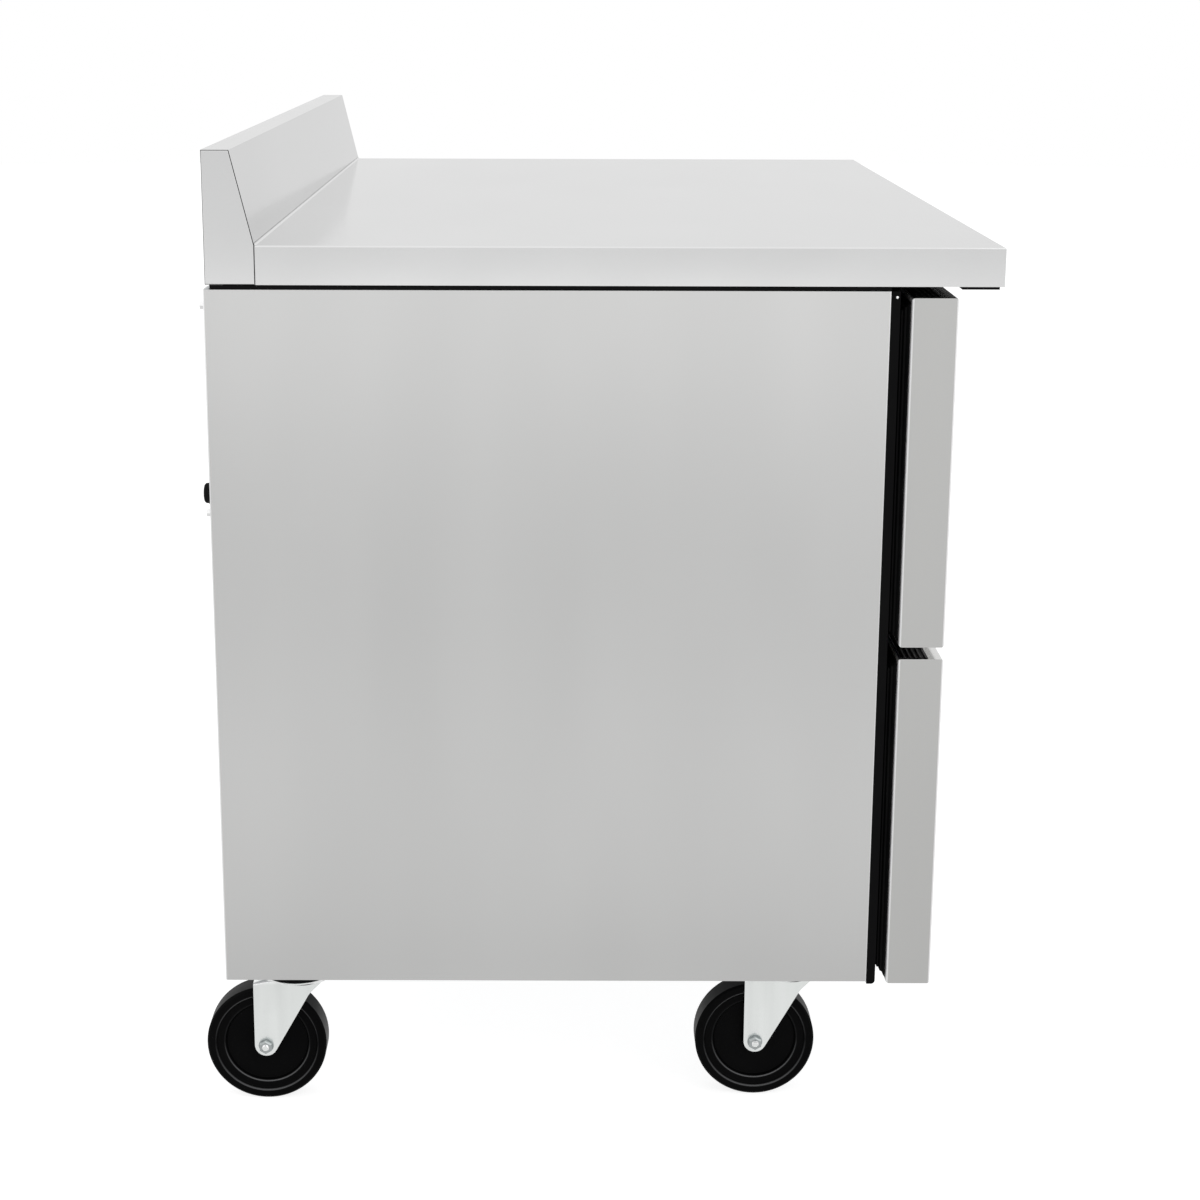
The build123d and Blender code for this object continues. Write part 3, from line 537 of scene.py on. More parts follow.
topSheet = steel(topSteel)
sideSheet = steel(sideSteel)
drawerSheet = steel(drawerSteel)
linerSheet = steel(linerSteel)
slideSheet = steel(slideSteel)
zincedSheet = zinc(galvanised)
zincPart = zinc(zincPlate)
boltPart = zinc(boltZinc)
finSheet = zinc(aluminium)
frameMoulding = blackPart(frameBlack)
sealRubber = blackPart(sealBlack)
wheelMoulding = blackPart(wheelBlack)
enamel = blackPart(enamelBlack)
controllerShell = blackPart(controllerGrey)
foamCore = foamedCore(foam)
boardCore = foamedCore(boardBlack)
copperTube = drawnCopper(copper)
print("materials made")


# What each CAD node is made of


nodeFinish = {
    "worktop_skin": topSheet,
    "worktop_core": boardCore,
    "backsplash": topSheet,
    "splash_end_caps": topSheet,
    "closure_strip": sealRubber,
    "nosing_strip": sealRubber,
    "side_panel_left": sideSheet,
    "side_panel_right": sideSheet,
    "back_panel": zincedSheet,
    "base_pan": zincedSheet,
    "cabinet_liner": linerSheet,
    "foam_insulation": foamCore,
    "face_frame": frameMoulding,
    "slide_posts": slideSheet,
    "cabinet_rails": slideSheet,
    "rear_grille": zincedSheet,
    "condenser_coil": finSheet,
    "condenser_duct": zincedSheet,
    "evaporator_coil": finSheet,
    "evaporator_housing": linerSheet,
    "fan_motors": enamel,
    "condenser_fan": finSheet,
    "evaporator_fan": finSheet,
    "compressor": enamel,
    "refrigerant_lines": copperTube,
    "condensate_tray": zincedSheet,
    "temperature_controller": controllerShell,
    "rear_bumpers": sealRubber,
    "rear_screws": zincPart,
    "caster_bolts": zincPart,
    "caster_plates": zincPart,
}
for place in places:
    nodeFinish["drawer_skin_" + place] = drawerSheet
    nodeFinish["drawer_core_" + place] = linerSheet
    nodeFinish["drawer_gasket_" + place] = sealRubber
    nodeFinish["pan_cradle_" + place] = slideSheet
    nodeFinish["slide_members_" + place] = slideSheet
for corner in corners:
    nodeFinish["caster_fork_" + corner] = zincPart
    nodeFinish["caster_wheel_" + corner] = wheelMoulding

for name, finish in nodeFinish.items():
    mesh = frame["nodes"][name].data
    mesh.materials.clear()
    mesh.materials.append(finish)
print("CAD nodes dressed")


# Mesh tools


def meshObject(name, mesh, finish):
    piece = bpy.data.objects.new(name, mesh)
    bpy.context.scene.collection.objects.link(piece)
    mesh.materials.append(finish)
    return piece


def rounded(piece, width, segments, angle):
    bevel = piece.modifiers.new("edges", "BEVEL")
    bevel.width = width
    bevel.segments = segments
    bevel.limit_method = "ANGLE"
    bevel.angle_limit = math.radians(angle)
    bevel.harden_normals = True
    for face in piece.data.polygons:
        face.use_smooth = True
    return piece


def turning(axis):
    # the rotation that takes +Z to the axis
    return Vector((0.0, 0.0, 1.0)).rotation_difference(Vector(axis)).to_matrix().to_4x4()


def addLathe(shape, profile, place, axis, steps, closed):
    # turns (height, radius) points round the axis through place
    turn = Matrix.Translation(place) @ turning(axis)
    rings = []
    for height, radius in profile:
        ring = []
        for i in range(steps):
            angle = 2 * math.pi * i / steps
            point = Vector((radius * math.cos(angle), radius * math.sin(angle), height))
            ring.append(shape.verts.new(turn @ point))
        rings.append(ring)
    pairs = list(zip(rings, rings[1:]))
    if closed:
        pairs.append((rings[-1], rings[0]))
    for low, high in pairs:
        for i in range(steps):
            j = (i + 1) % steps
            shape.faces.new((low[i], low[j], high[j], high[i]))
    if not closed:
        shape.faces.new(list(reversed(rings[0])))
        shape.faces.new(rings[-1])


def domeProfile(look):
    # the (height, radius) points of a rivet's or stud's head
    return [(rise * look["height"], look["radius"] * spread) for rise, spread in look["dome"]]


def finished(name, shape, finish):
    bmesh.ops.recalc_face_normals(shape, faces=shape.faces)
    mesh = bpy.data.meshes.new(name)
    shape.to_mesh(mesh)
    shape.free()
    return meshObject(name, mesh, finish)


# Wheels: a rounded tread, a stepped rim, a sunk web and a hub that meets the fork


wheel = {
    "tread": 0.0635,
    "halfWidth": 0.0160,
    "shoulder": 0.0022,
    "rimEdge": 0.0547,
    "rimFloor": 0.0520,
    "rimDepth": 0.0034,
    "webEdge": 0.0445,
    "webFloor": 0.0425,
    "webDepth": 0.0072,
    "hub": 0.0130,
    "hubDraft": 0.0015,
    "hubHalf": 0.0180,
    "bore": 0.0048,
    "steps": 128,
    "edge": (0.0007, 3, 18.0),
}


def wheelProfile(look):
    half = look["halfWidth"]
    side = [
        (look["hubHalf"], look["bore"]),
        (look["hubHalf"], look["hub"]),
        (half - look["webDepth"], look["hub"] + look["hubDraft"]),
        (half - look["webDepth"], look["webFloor"]),
        (half - look["rimDepth"], look["webEdge"]),
        (half - look["rimDepth"], look["rimFloor"]),
        (half, look["rimEdge"]),
        (half, look["tread"] - look["shoulder"]),
        (half - look["shoulder"], look["tread"]),
    ]
    return side + [(-height, radius) for height, radius in reversed(side)]


for corner in corners:
    node = "caster_wheel_" + corner
    shape = bmesh.new()
    addLathe(shape, wheelProfile(wheel), middle(node), (1, 0, 0), wheel["steps"], True)
    piece = rounded(finished("wheel_" + corner, shape, wheelMoulding), *wheel["edge"])
    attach(piece, "wheel_" + corner)
    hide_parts(node)
print("wheels made")


# Hex heads: a chamfered hexagon on a round flange, given by across, height and flange


hexHead = {
    "flangeHeight": 0.0012,
    "flangeShoulder": (0.6, 0.94),
    "flangeSteps": 36,
    "chamferDrop": 0.07,
    "chamferRadius": 0.46,
}


def addHexHead(shape, place, axis, look):
    across, height, flange = look["across"], look["height"], look["flange"]
    corner = across / math.sqrt(3)
    base = min(hexHead["flangeHeight"], height / 4)
    rise, taper = hexHead["flangeShoulder"]
    profile = [(0.0, flange), (base * rise, flange), (base, flange * taper)]
    addLathe(shape, profile, place, axis, hexHead["flangeSteps"], False)
    turn = Matrix.Translation(place) @ turning(axis)
    rings = []
    shoulder = height - across * hexHead["chamferDrop"]
    crown = across * hexHead["chamferRadius"]
    for level, radius in ((base, corner), (shoulder, corner), (height, crown)):
        ring = []
        for i in range(6):
            angle = math.pi * i / 3
            point = Vector((radius * math.cos(angle), radius * math.sin(angle), level))
            ring.append(shape.verts.new(turn @ point))
        rings.append(ring)
    for low, high in zip(rings, rings[1:]):
        for i in range(6):
            j = (i + 1) % 6
            shape.faces.new((low[i], low[j], high[j], high[i]))
    shape.faces.new(list(reversed(rings[0])))
    shape.faces.new(rings[-1])


backScrew = {
    "across": 0.0070,
    "height": 0.0058,
    "flange": 0.0049,
    "places": ((0.5900, 0.8550), (0.5900, 0.6510), (0.5400, 0.6200), (0.5400, 0.1920)),
}

shape = bmesh.new()
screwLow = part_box("rear_screws")[0]
for side in (-1, 1):
    for x, level in backScrew["places"]:
        addHexHead(shape, Vector((side * x, screwLow.y, level)), (0, 1, 0), backScrew)
piece = finished("rearScrewHeads", shape, zincPart)
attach(piece, "cabinet")
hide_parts("rear_screws")

plateBolt = {
    "across": 0.0130,
    "height": 0.0054,
    "flange": 0.0076,
    "pitchX": 0.0740,
    "pitchY": 0.0610,
}


def swivelPlace(corner):
    return next(joint for joint in frame["joints"] if joint["name"] == "swivel_" + corner)["pos_m"]


shape = bmesh.new()
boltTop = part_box("caster_bolts")[1].z
for corner in corners:
    swivel = swivelPlace(corner)
    for sideX in (-0.5, 0.5):
        for sideY in (-0.5, 0.5):
            x = swivel[0] + sideX * plateBolt["pitchX"]
            y = swivel[1] + sideY * plateBolt["pitchY"]
            addHexHead(shape, Vector((x, y, boltTop)), (0, 0, -1), plateBolt)
piece = finished("casterBoltHeads", shape, zincPart)
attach(piece, "cabinet")
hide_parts("caster_bolts")
print("screws and bolts made")


# Forks: one pressed sheet bent over the wheel, with a dished round crown and a black dust seal that
# also stands in for the shade under the body


fork = {
    "halfWidth": 0.0215,
    "sheet": 0.0030,
    "bendRadius": 0.0035,
    "crownTop": 0.1386,
    "crownReach": 0.0295,
    "crownFall": 0.0045,
    "shoulder": (-0.0135, 0.1226),
    "footRadius": 0.0120,
    "swell": 0.0011,
    "swellMiddle": 0.40,
    "swellWidth": 0.20,
    "swellStart": 0.012,
    "swellFade": 0.025,
    "footRows": 6,
    "footStep": 0.0004,
    "legRows": 26,
    "bendRows": 6,
    "columns": 20,
    "merge": 0.00002,
    "edge": (0.0013, 4, 50.0),
    "latheEdge": (0.0003, 2, 25.0),
    "dishSteps": 96,
    "dish": [
        (-0.0030, 0.0240),
        (-0.0030, 0.0300),
        (-0.0018, 0.0345),
        (0.0002, 0.0365),
        (0.0014, 0.0365),
        (0.0016, 0.0358),
        (0.0004, 0.0345),
        (-0.0005, 0.0320),
        (-0.0005, 0.0240),
    ],
    "sealSteps": 72,
    "seal": [
        (-0.0006, 0.0244),
        (-0.0006, 0.0344),
        (0.0008, 0.0340),
        (0.0034, 0.0290),
        (0.0042, 0.0262),
        (0.0036, 0.0244),
    ],
}


def legSpan(z, trail, look):
    # rear and front edge of a leg at height z, measured from the swivel axis
    radius = look["footRadius"]
    axleZ = wheel["tread"]
    shoulderY, shoulderZ = look["shoulder"]
    run, rise = shoulderY - trail, shoulderZ - axleZ
    angle = math.atan2(rise, run) + math.acos(radius / math.hypot(run, rise))
    touchY, touchZ = trail + radius * math.cos(angle), axleZ + radius * math.sin(angle)
    side = math.sqrt(max(radius**2 - (z - axleZ) ** 2, 0.0))
    rear = trail + (side if z < axleZ else radius)
    if z < touchZ:
        front = trail - side
    elif z < shoulderZ:
        front = touchY + (shoulderY - touchY) * (z - touchZ) / (shoulderZ - touchZ)
    else:
        climb = (z - shoulderZ) / (look["crownTop"] - shoulderZ)
        front = shoulderY + (-look["crownReach"] - shoulderY) * climb
    return rear, front


def forkPath(look):
    # (x, z, outward x, outward z) up one leg, over the crown and down the other
    radius = look["bendRadius"]
    top = look["crownTop"]
    foot = wheel["tread"] - look["footRadius"]
    levels = [foot + look["footStep"] * i * i for i in range(look["footRows"])]
    start, rows = levels[-1], look["legRows"]
    levels += [start + (top - radius - start) * i / rows for i in range(1, rows + 1)]
    leg = [(-look["halfWidth"], z, -1.0, 0.0) for z in levels]
    bend = []
    for i in range(1, look["bendRows"] + 1):
        angle = math.pi / 2 * i / look["bendRows"]
        x = -look["halfWidth"] + radius * (1 - math.cos(angle))
        z = top - radius * (1 - math.sin(angle))
        bend.append((x, z, -math.cos(angle), math.sin(angle)))
    half = leg + bend
    return half + [(-x, z, -outX, outZ) for x, z, outX, outZ in reversed(half)]


def addFork(shape, swivel, trail, look):
    # each leg swells outwards along its middle, and the crown falls towards the rear
    rows = []
    columns = look["columns"]
    shoulderZ = look["shoulder"][1]
    reach = look["crownReach"]
    for x, z, outX, outZ in forkPath(look):
        rear, front = legSpan(min(z, look["crownTop"]), trail, look)
        lift = max(0.0, (z - shoulderZ) / (look["crownTop"] - shoulderZ))
        climb = (z - wheel["tread"] - look["swellStart"]) / look["swellFade"]
        fade = min(1.0, max(0.0, climb)) * (1 - outZ)
        row = []
        for i in range(columns + 1):
            across = i / columns
            y = rear + (front - rear) * across
            past = max(0.0, y - reach) / (trail + look["footRadius"] - reach)
            near = (across - look["swellMiddle"]) / look["swellWidth"]
            swell = look["swell"] * math.exp(-near * near) * fade
            low = z - look["crownFall"] * past * lift
            row.append(shape.verts.new((swivel[0] + x + outX * swell, swivel[1] + y, low)))
        rows.append(row)
    for first, second in zip(rows, rows[1:]):
        for i in range(columns):
            shape.faces.new((first[i], first[i + 1], second[i + 1], second[i]))


def forkSheet(name, shape):
    piece = finished(name, shape, zincPart)
    solid = piece.modifiers.new("sheet", "SOLIDIFY")
    solid.thickness = fork["sheet"]
    solid.offset = -1.0
    solid.use_even_offset = True
    return rounded(piece, *fork["edge"])


axleNut = {
    "across": 0.0128,
    "height": 0.0066,
    "flange": 0.0080,
    "end": 0.0036,
    "endReach": 0.0090,
    "pitch": 0.0008,
    "root": 0.88,
    "tip": 0.78,
    "middle": 1.05,
    "steps": 32,
}


def axleEnd(look):
    # the threaded end that stands out of the nut, as (height, radius) points
    pitch, radius = look["pitch"], look["end"]
    height = look["height"] - pitch
    profile = [(0.0, radius)]
    while height < look["endReach"] - 2 * pitch:
        profile.append((height, radius))
        profile.append((height + pitch / 2, radius * look["root"]))
        height += pitch
    profile.append((look["endReach"] - pitch, radius))
    profile.append((look["endReach"], radius * look["tip"]))
    return profile


for corner in corners:
    swivel = swivelPlace(corner)
    axle = middle("caster_wheel_" + corner)
    shape = bmesh.new()
    addFork(shape, swivel, axle.y - swivel[1], fork)
    bmesh.ops.remove_doubles(shape, verts=shape.verts, dist=fork["merge"])
    piece = forkSheet("forkSheet_" + corner, shape)
    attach(piece, "fork_" + corner)
    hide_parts("caster_fork_" + corner)

    crown = Vector((swivel[0], swivel[1], fork["crownTop"]))
    shape = bmesh.new()
    addLathe(shape, fork["dish"], crown, (0, 0, 1), fork["dishSteps"], True)
    piece = rounded(finished("forkCrown_" + corner, shape, zincPart), *fork["latheEdge"])
    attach(piece, "fork_" + corner)
    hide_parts("caster_fork_" + corner)

    # a black ring over the crown, partly a dust seal and partly a stand-in for the shade beneath the
    # cabinet
    shape = bmesh.new()
    addLathe(shape, fork["seal"], crown, (0, 0, 1), fork["sealSteps"], True)
    piece = rounded(finished("swivelSeal_" + corner, shape, sealRubber), *fork["latheEdge"])
    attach(piece, "fork_" + corner)

    nuts = bmesh.new()
    pin = bmesh.new()
    for way in (-1, 1):
        place = Vector((axle.x + way * fork["halfWidth"], axle.y, axle.z))
        addHexHead(nuts, place, (way, 0, 0), axleNut)
        addLathe(pin, axleEnd(axleNut), place, (way, 0, 0), axleNut["steps"], False)
    reach, radius = fork["halfWidth"], axleNut["end"]
    profile = [(-reach, radius), (0.0, radius * axleNut["middle"]), (reach, radius)]
    addLathe(pin, profile, axle, (1, 0, 0), axleNut["steps"], False)
    for name, shape, finish in (("axleNuts_", nuts, boltPart), ("axle_", pin, zincPart)):
        piece = finished(name + corner, shape, finish)
        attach(piece, "fork_" + corner)
        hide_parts("caster_fork_" + corner)
print("forks made")


# Splash ends: a plate with rolled edges, set in a dark line of sealant that also stands in for the
# seam's shadow


splashEnd = {
    "gap": 0.0006,
    "thickness": 0.0011,
    "edge": (0.0009, 3, 30.0),
    "topDepth": 0.0265,
    "sealantGap": 0.0002,
    "sealantDepth": 0.0007,
    "sealantBack": 0.0012,
    "sealantEdge": (0.0002, 1, 30.0),
    "beadRadius": 0.0022,
    "beadSteps": 6,
    "beadInset": 0.0016,
    "beadEdge": (0.0002, 1, 60.0),
}


def insetOutline(points, gap):
    # moves each side of a closed (y, z) outline inwards, for points that run anticlockwise
    sides = []
    for (y, z), (nextY, nextZ) in zip(points, points[1:] + points[:1]):
        length = math.hypot(nextY - y, nextZ - z)
        inY, inZ = (z - nextZ) / length, (nextY - y) / length
        sides.append((inY, inZ, inY * y + inZ * z + gap))
    inner = []
    for (aY, aZ, a), (bY, bZ, b) in zip(sides[-1:] + sides[:-1], sides):
        cross = aY * bZ - aZ * bY
        inner.append(((a * bZ - b * aZ) / cross, (aY * b - bY * a) / cross))
    return inner


def addPrism(shape, points, nearX, farX):
    # a (y, z) outline drawn out along x
    rings = [[shape.verts.new((x, y, z)) for y, z in points] for x in (nearX, farX)]
    for i in range(len(points)):
        j = (i + 1) % len(points)
        shape.faces.new((rings[0][i], rings[0][j], rings[1][j], rings[1][i]))
    shape.faces.new(rings[0])
    shape.faces.new(list(reversed(rings[1])))


endLow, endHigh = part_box("splash_end_caps")
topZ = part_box("worktop_skin")[1].z
endOutline = [
    (endLow.y, endLow.z),
    (endHigh.y, endLow.z),
    (endHigh.y, endHigh.z),
    (endHigh.y - splashEnd["topDepth"], endHigh.z),
    (endLow.y, topZ),
]
plateOutline = insetOutline(endOutline, splashEnd["gap"])
sealantOutline = insetOutline(endOutline, splashEnd["sealantGap"])
plates = bmesh.new()
sealant = bmesh.new()
for x, way in ((endLow.x, 1), (endHigh.x, -1)):
    addPrism(plates, plateOutline, x, x + way * splashEnd["thickness"])
    back = x + way * splashEnd["sealantBack"]
    addPrism(sealant, sealantOutline, back, back - way * splashEnd["sealantDepth"])
piece = rounded(finished("splashEndPlates", plates, topSheet), *splashEnd["edge"])
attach(piece, "cabinet")
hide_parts("splash_end_caps")
# black sealant in the seam, which also stands in for the seam's shadow
piece = rounded(finished("splashEndSealant", sealant, sealRubber), *splashEnd["sealantEdge"])
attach(piece, "cabinet")
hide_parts("splash_end_caps")

# the polished fillet along the splash's foot
bead = splashEnd["beadRadius"]
points = [(endLow.y, topZ), (endLow.y, topZ + bead)]
for i in range(1, splashEnd["beadSteps"]):
    angle = math.pi / 2 * i / splashEnd["beadSteps"]
    points.append((endLow.y - bead * (1 - math.cos(angle)), topZ + bead * (1 - math.sin(angle))))
points.append((endLow.y - bead, topZ))
shape = bmesh.new()
addPrism(shape, points, endLow.x + splashEnd["beadInset"], endHigh.x - splashEnd["beadInset"])
piece = rounded(finished("splashBead", shape, topSheet), *splashEnd["beadEdge"])
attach(piece, "cabinet")
print("splash ends made")


# Drawer trims: a ribbed black moulding over the rear part of each front's top and underside, which
# also stands in for the shade between the stacked fronts


shadeTrim = {
    "endInset": 0.0032,
    "frontInset": 0.0150,
    "rearInset": 0.0042,
    "base": 0.0006,
    "rib": 0.0012,
    "ribs": 5,
    "ribFoot": 0.28,
    "ribCrest": 0.12,
    "edge": (0.00015, 2, 30.0),
}

# black trims that partly stand in for the shade falling between the fronts
for place in places:
    low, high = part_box("drawer_skin_" + place)
    shape = bmesh.new()
    front, rear = low.y + shadeTrim["frontInset"], high.y - shadeTrim["rearInset"]
    pitch = (rear - front) / shadeTrim["ribs"]
    foot, crest = pitch * shadeTrim["ribFoot"], pitch * shadeTrim["ribCrest"]
    for level, way in ((high.z, 1), (low.z, -1)):
        base, rib = level + way * shadeTrim["base"], level + way * shadeTrim["rib"]
        points = [(front, level), (rear, level), (rear, base)]
        for i in range(shadeTrim["ribs"]):
            y = rear - pitch * (i + 0.5)
            points += [(y + foot, base), (y + crest, rib), (y - crest, rib), (y - foot, base)]
        points.append((front, base))
        addPrism(shape, points, low.x + shadeTrim["endInset"], high.x - shadeTrim["endInset"])
    piece = rounded(finished("drawerTrim_" + place, shape, frameMoulding), *shadeTrim["edge"])
    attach(piece, "drawer_" + place)
print("drawer trims made")


# Drawer gaskets: a folded bellows with a flat magnet face, mitred at its corners


bellows = {
    "profile": [
        (0.0048, 0.0000),
        (0.0062, 0.0014),
        (0.0092, 0.0028),
        (0.0098, 0.0048),
        (0.0128, 0.0060),
        (0.0128, 0.0076),
        (0.0156, 0.0088),
        (0.0154, 0.0104),
        (0.0170, 0.0100),
        (0.0270, 0.0100),
        (0.0288, 0.0104),
        (0.0286, 0.0086),
        (0.0256, 0.0074),
        (0.0282, 0.0054),
        (0.0256, 0.0034),
        (0.0284, 0.0014),
        (0.0284, 0.0000),
    ],
    "edge": (0.0003, 2, 20.0),
}

for place in places:
    node = "drawer_gasket_" + place
    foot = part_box(node)[0].y
    low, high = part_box("drawer_skin_" + place)
    shape = bmesh.new()
    loops = []
    for inset, depth in bellows["profile"]:  # inset from the front's outline, depth behind it
        lowX, highX = low.x + inset, high.x - inset
        lowZ, highZ = low.z + inset, high.z - inset
        outline = ((lowX, lowZ), (highX, lowZ), (highX, highZ), (lowX, highZ))
        loops.append([shape.verts.new((x, foot + depth, z)) for x, z in outline])
    for first, second in zip(loops, loops[1:] + loops[:1]):
        for i in range(4):
            j = (i + 1) % 4
            shape.faces.new((first[i], first[j], second[j], second[i]))
    piece = rounded(finished("gasket_" + place, shape, sealRubber), *bellows["edge"])
    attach(piece, "drawer_" + place)
    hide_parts(node)
print("gaskets made")


# Cradle brackets: a flange with three rivets that holds each cradle arm to its front


cradleBracket = {
    "outerX": 0.5385,
    "innerX": 0.0505,
    "armSheet": 0.0015,
    "sheet": 0.0014,
    "flange": 0.0180,
    "endInset": 0.0200,
    "edge": (0.0004, 2, 30.0),
    "rivets": 3,
}

rivet = {
    "radius": 0.0034,
    "height": 0.0017,
    "dome": ((0.0, 1.0), (0.6, 0.85), (1.0, 0.4)),
    "steps": 28,
}

for place in places:
    low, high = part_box("pan_cradle_" + place)
    side = -1 if place.endswith("left") else 1
    foot = low.z + cradleBracket["endInset"]
    head = high.z - cradleBracket["endInset"]
    face = low.y + cradleBracket["sheet"]
    sheets = bmesh.new()
    rivets = bmesh.new()
    for armX, way in ((cradleBracket["outerX"], -1), (cradleBracket["innerX"], 1)):
        near = side * (armX + way * cradleBracket["armSheet"])
        far = near + side * way * cradleBracket["flange"]
        outline = [(low.y, foot), (face, foot), (face, head), (low.y, head)]
        addPrism(sheets, outline, near, far)
        for i in range(cradleBracket["rivets"]):
            level = foot + (head - foot) * (i + 0.5) / cradleBracket["rivets"]
            spot = Vector(((near + far) / 2, face, level))
            addLathe(rivets, domeProfile(rivet), spot, (0, 1, 0), rivet["steps"], False)
    piece = rounded(finished("cradleBrackets_" + place, sheets, slideSheet), *cradleBracket["edge"])
    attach(piece, "drawer_" + place)
    piece = finished("cradleRivets_" + place, rivets, zincPart)
    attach(piece, "drawer_" + place)
print("cradle brackets made")


# Buffers: turned rubber feet with a sunk screw hole


buffer = {
    "radius": 0.0110,
    "profile": [
        (0.0000, 0.0110),
        (0.0020, 0.0110),
        (0.0028, 0.0100),
        (0.0052, 0.0100),
        (0.0068, 0.0085),
        (0.0072, 0.0069),
        (0.0072, 0.0030),
        (0.0040, 0.0030),
    ],
    "steps": 48,
    "edge": (0.0004, 2, 25.0),
}

shape = bmesh.new()
bufferLow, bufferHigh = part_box("rear_bumpers")
for x in (bufferLow.x + buffer["radius"], bufferHigh.x - buffer["radius"]):
    spot = Vector((x, bufferLow.y, (bufferLow.z + bufferHigh.z) / 2))
    addLathe(shape, buffer["profile"], spot, (0, 1, 0), buffer["steps"], False)
piece = rounded(finished("rearBuffers", shape, sealRubber), *buffer["edge"])
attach(piece, "cabinet")
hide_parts("rear_bumpers")


# Frame studs: one bright domed stud on each side of the black frame


stud = {
    "radius": 0.0015,
    "height": 0.0008,
    "dome": ((0.0, 1.0), (0.6, 0.8), (1.0, 0.35)),
    "steps": 24,
    "setback": 0.0032,
    "level": 0.8666,
}

shape = bmesh.new()
frameLow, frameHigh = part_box("face_frame")
for x, way in ((frameLow.x, -1), (frameHigh.x, 1)):
    spot = Vector((x, frameLow.y + stud["setback"], stud["level"]))
    addLathe(shape, domeProfile(stud), spot, (way, 0, 0), stud["steps"], False)
piece = finished("frameStuds", shape, zincPart)
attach(piece, "cabinet")
print("buffers and studs made")


# Stage: a pale floor, soft light and a white surround; gloss is what metal mirrors of the
# floor, by distance from the object as a share of glossReach


stage = {
    "radius": 14.0,
    "steps": 96,
    "cameraWhite": 0.83,
    "cameraShade": 0.44,
    "bounce": 0.80,
    "glossReach": 10.0,
    "gloss": [
        (0.080, 0.75),
        (0.094, 0.70),
        (0.103, 0.65),
        (0.12, 0.72),
        (0.15, 0.77),
        (0.19, 0.80),
        (0.28, 0.70),
        (0.36, 0.715),
        (0.46, 0.765),
        (0.55, 0.81),
        (0.65, 0.98),
        (0.78, 1.38),
        (0.83, 0.98),
        (0.88, 0.76),
        (1.0, 0.92),
    ],
    "skyLight": 0.80,
    "horizonGloss": 0.85,
    "horizonTop": 0.25,
}


def floorFinish(look):
    graph = newGraph("floorWhite")
    rays = graph.add("LightPath", out="Is Camera Ray")
    distance = graph.add("VectorMath", {"operation": "LENGTH"}, {0: graph.place()}, out="Value")
    reach = graph.ramp(distance * (1.0 / look["glossReach"]), look["gloss"])
    plain = graph.add("BsdfDiffuse", None, {"Color": rgba((look["bounce"],) * 3)})
    shaded = graph.add("BsdfDiffuse", None, {"Color": rgba((look["cameraShade"],) * 3)})
    glow = graph.add("Emission", None, {"Color": rgba((look["cameraWhite"],) * 3), "Strength": 1.0})
    seen = graph.add("AddShader", None, {0: shaded, 1: glow})
    mirrored = graph.add("Emission", None, {"Color": rgba((1.0, 1.0, 1.0)), "Strength": reach})
    direct = graph.add("MixShader", None, {0: rays, 1: plain, 2: seen})
    whole = graph.add("MixShader", None, {0: rays.part("Is Glossy Ray"), 1: direct, 2: mirrored})
    graph.add("OutputMaterial", None, {"Surface": whole})
    graph.owner.cycles.emission_sampling = "NONE"  # its glow is only seen, it lights nothing
    return graph.owner


def surround(look):
    world = bpy.data.worlds.new("surround")
    bpy.context.scene.world = world
    graph = Graph(world)
    rays = graph.add("LightPath", out="Is Camera Ray")
    seen = rays.orMore(rays.part("Is Glossy Ray")).orMore(rays.part("Is Transmission Ray"))
    way = graph.add("TexCoord", out="Generated")
    rise = graph.add("SeparateXYZ", None, {"Vector": way}, out="Z")
    reach = graph.add(
        "MapRange",
        {"interpolation_type": "SMOOTHSTEP"},
        {
            "Value": rise,
            "From Min": 0.0,
            "From Max": look["horizonTop"],
            "To Min": look["horizonGloss"],
            "To Max": 1.0,
        },
    )
    strength = reach.orMore(rays)
    light = graph.add("Background", None, {"Color": rgba((1, 1, 1)), "Strength": look["skyLight"]})
    white = graph.add("Background", None, {"Color": rgba((1, 1, 1)), "Strength": strength})
    both = graph.add("MixShader", None, {0: seen, 1: light, 2: white})
    graph.add("OutputWorld", None, {"Surface": both})


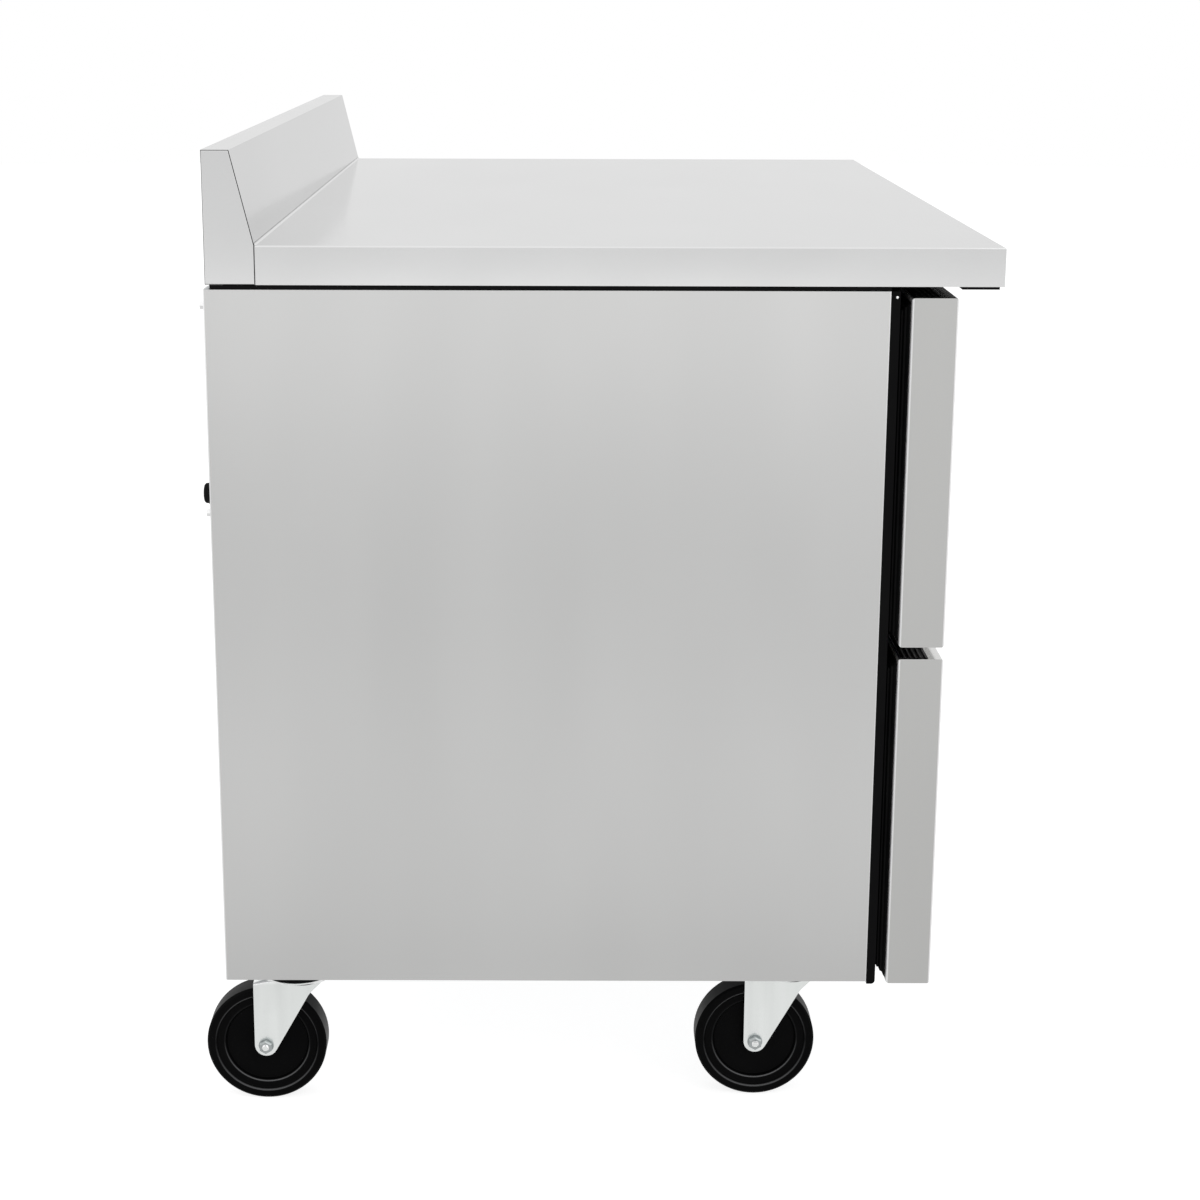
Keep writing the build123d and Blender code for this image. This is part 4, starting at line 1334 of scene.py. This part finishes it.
shape = bmesh.new()
bmesh.ops.create_circle(shape, cap_ends=True, segments=stage["steps"], radius=stage["radius"])
floor = finished("floor", shape, floorFinish(stage))
surround(stage)

softLamp = {
    "place": (-3.2, -2.6, 3.6),
    "aim": (0.0, 0.0, 0.5),
    "size": 2.6,
    "power": 26.0,
}


def areaLamp(name, look):
    lamp = bpy.data.lights.new(name, "AREA")
    lamp.size = look["size"]
    lamp.energy = look["power"]
    holder = bpy.data.objects.new(name, lamp)
    bpy.context.scene.collection.objects.link(holder)
    holder.location = look["place"]
    holder.rotation_mode = "QUATERNION"
    way = Vector(look["aim"]) - Vector(look["place"])
    holder.rotation_quaternion = way.to_track_quat("-Z", "Y")


areaLamp("softLamp", softLamp)


# Camera: set where the photograph was taken from


cameraLook = {
    "place": (-2.906, 0.026075, 1.1496),
    "yaw": -0.05,
    "pitch": 14.50,
    "roll": 0.165,
    "focalPixels": 2405.0,
    "framePixels": 1200.0,
    "middlePixel": (560.2, 612.15),
    "sensor": 36.0,
}


def photoCamera(look):
    data = bpy.data.cameras.new("photoCamera")
    data.sensor_width = look["sensor"]
    data.lens = look["sensor"] * look["focalPixels"] / look["framePixels"]
    data.shift_x = 0.5 - look["middlePixel"][0] / look["framePixels"]
    data.shift_y = look["middlePixel"][1] / look["framePixels"] - 0.5
    yaw, pitch, roll = (math.radians(look[key]) for key in ("yaw", "pitch", "roll"))
    flat = math.cos(pitch)
    ahead = Vector((flat * math.cos(yaw), flat * math.sin(yaw), -math.sin(pitch)))
    level = Vector((math.sin(yaw), -math.cos(yaw), 0.0))
    upright = level.cross(ahead)
    right = math.cos(roll) * level + math.sin(roll) * upright
    up = math.cos(roll) * upright - math.sin(roll) * level
    holder = bpy.data.objects.new("photoCamera", data)
    bpy.context.scene.collection.objects.link(holder)
    facing = Matrix((right, up, -ahead)).transposed().to_4x4()
    holder.matrix_world = Matrix.Translation(look["place"]) @ facing
    bpy.context.scene.camera = holder


photoCamera(cameraLook)
bpy.context.scene.view_settings.view_transform = "Standard"
print("stage and camera set")
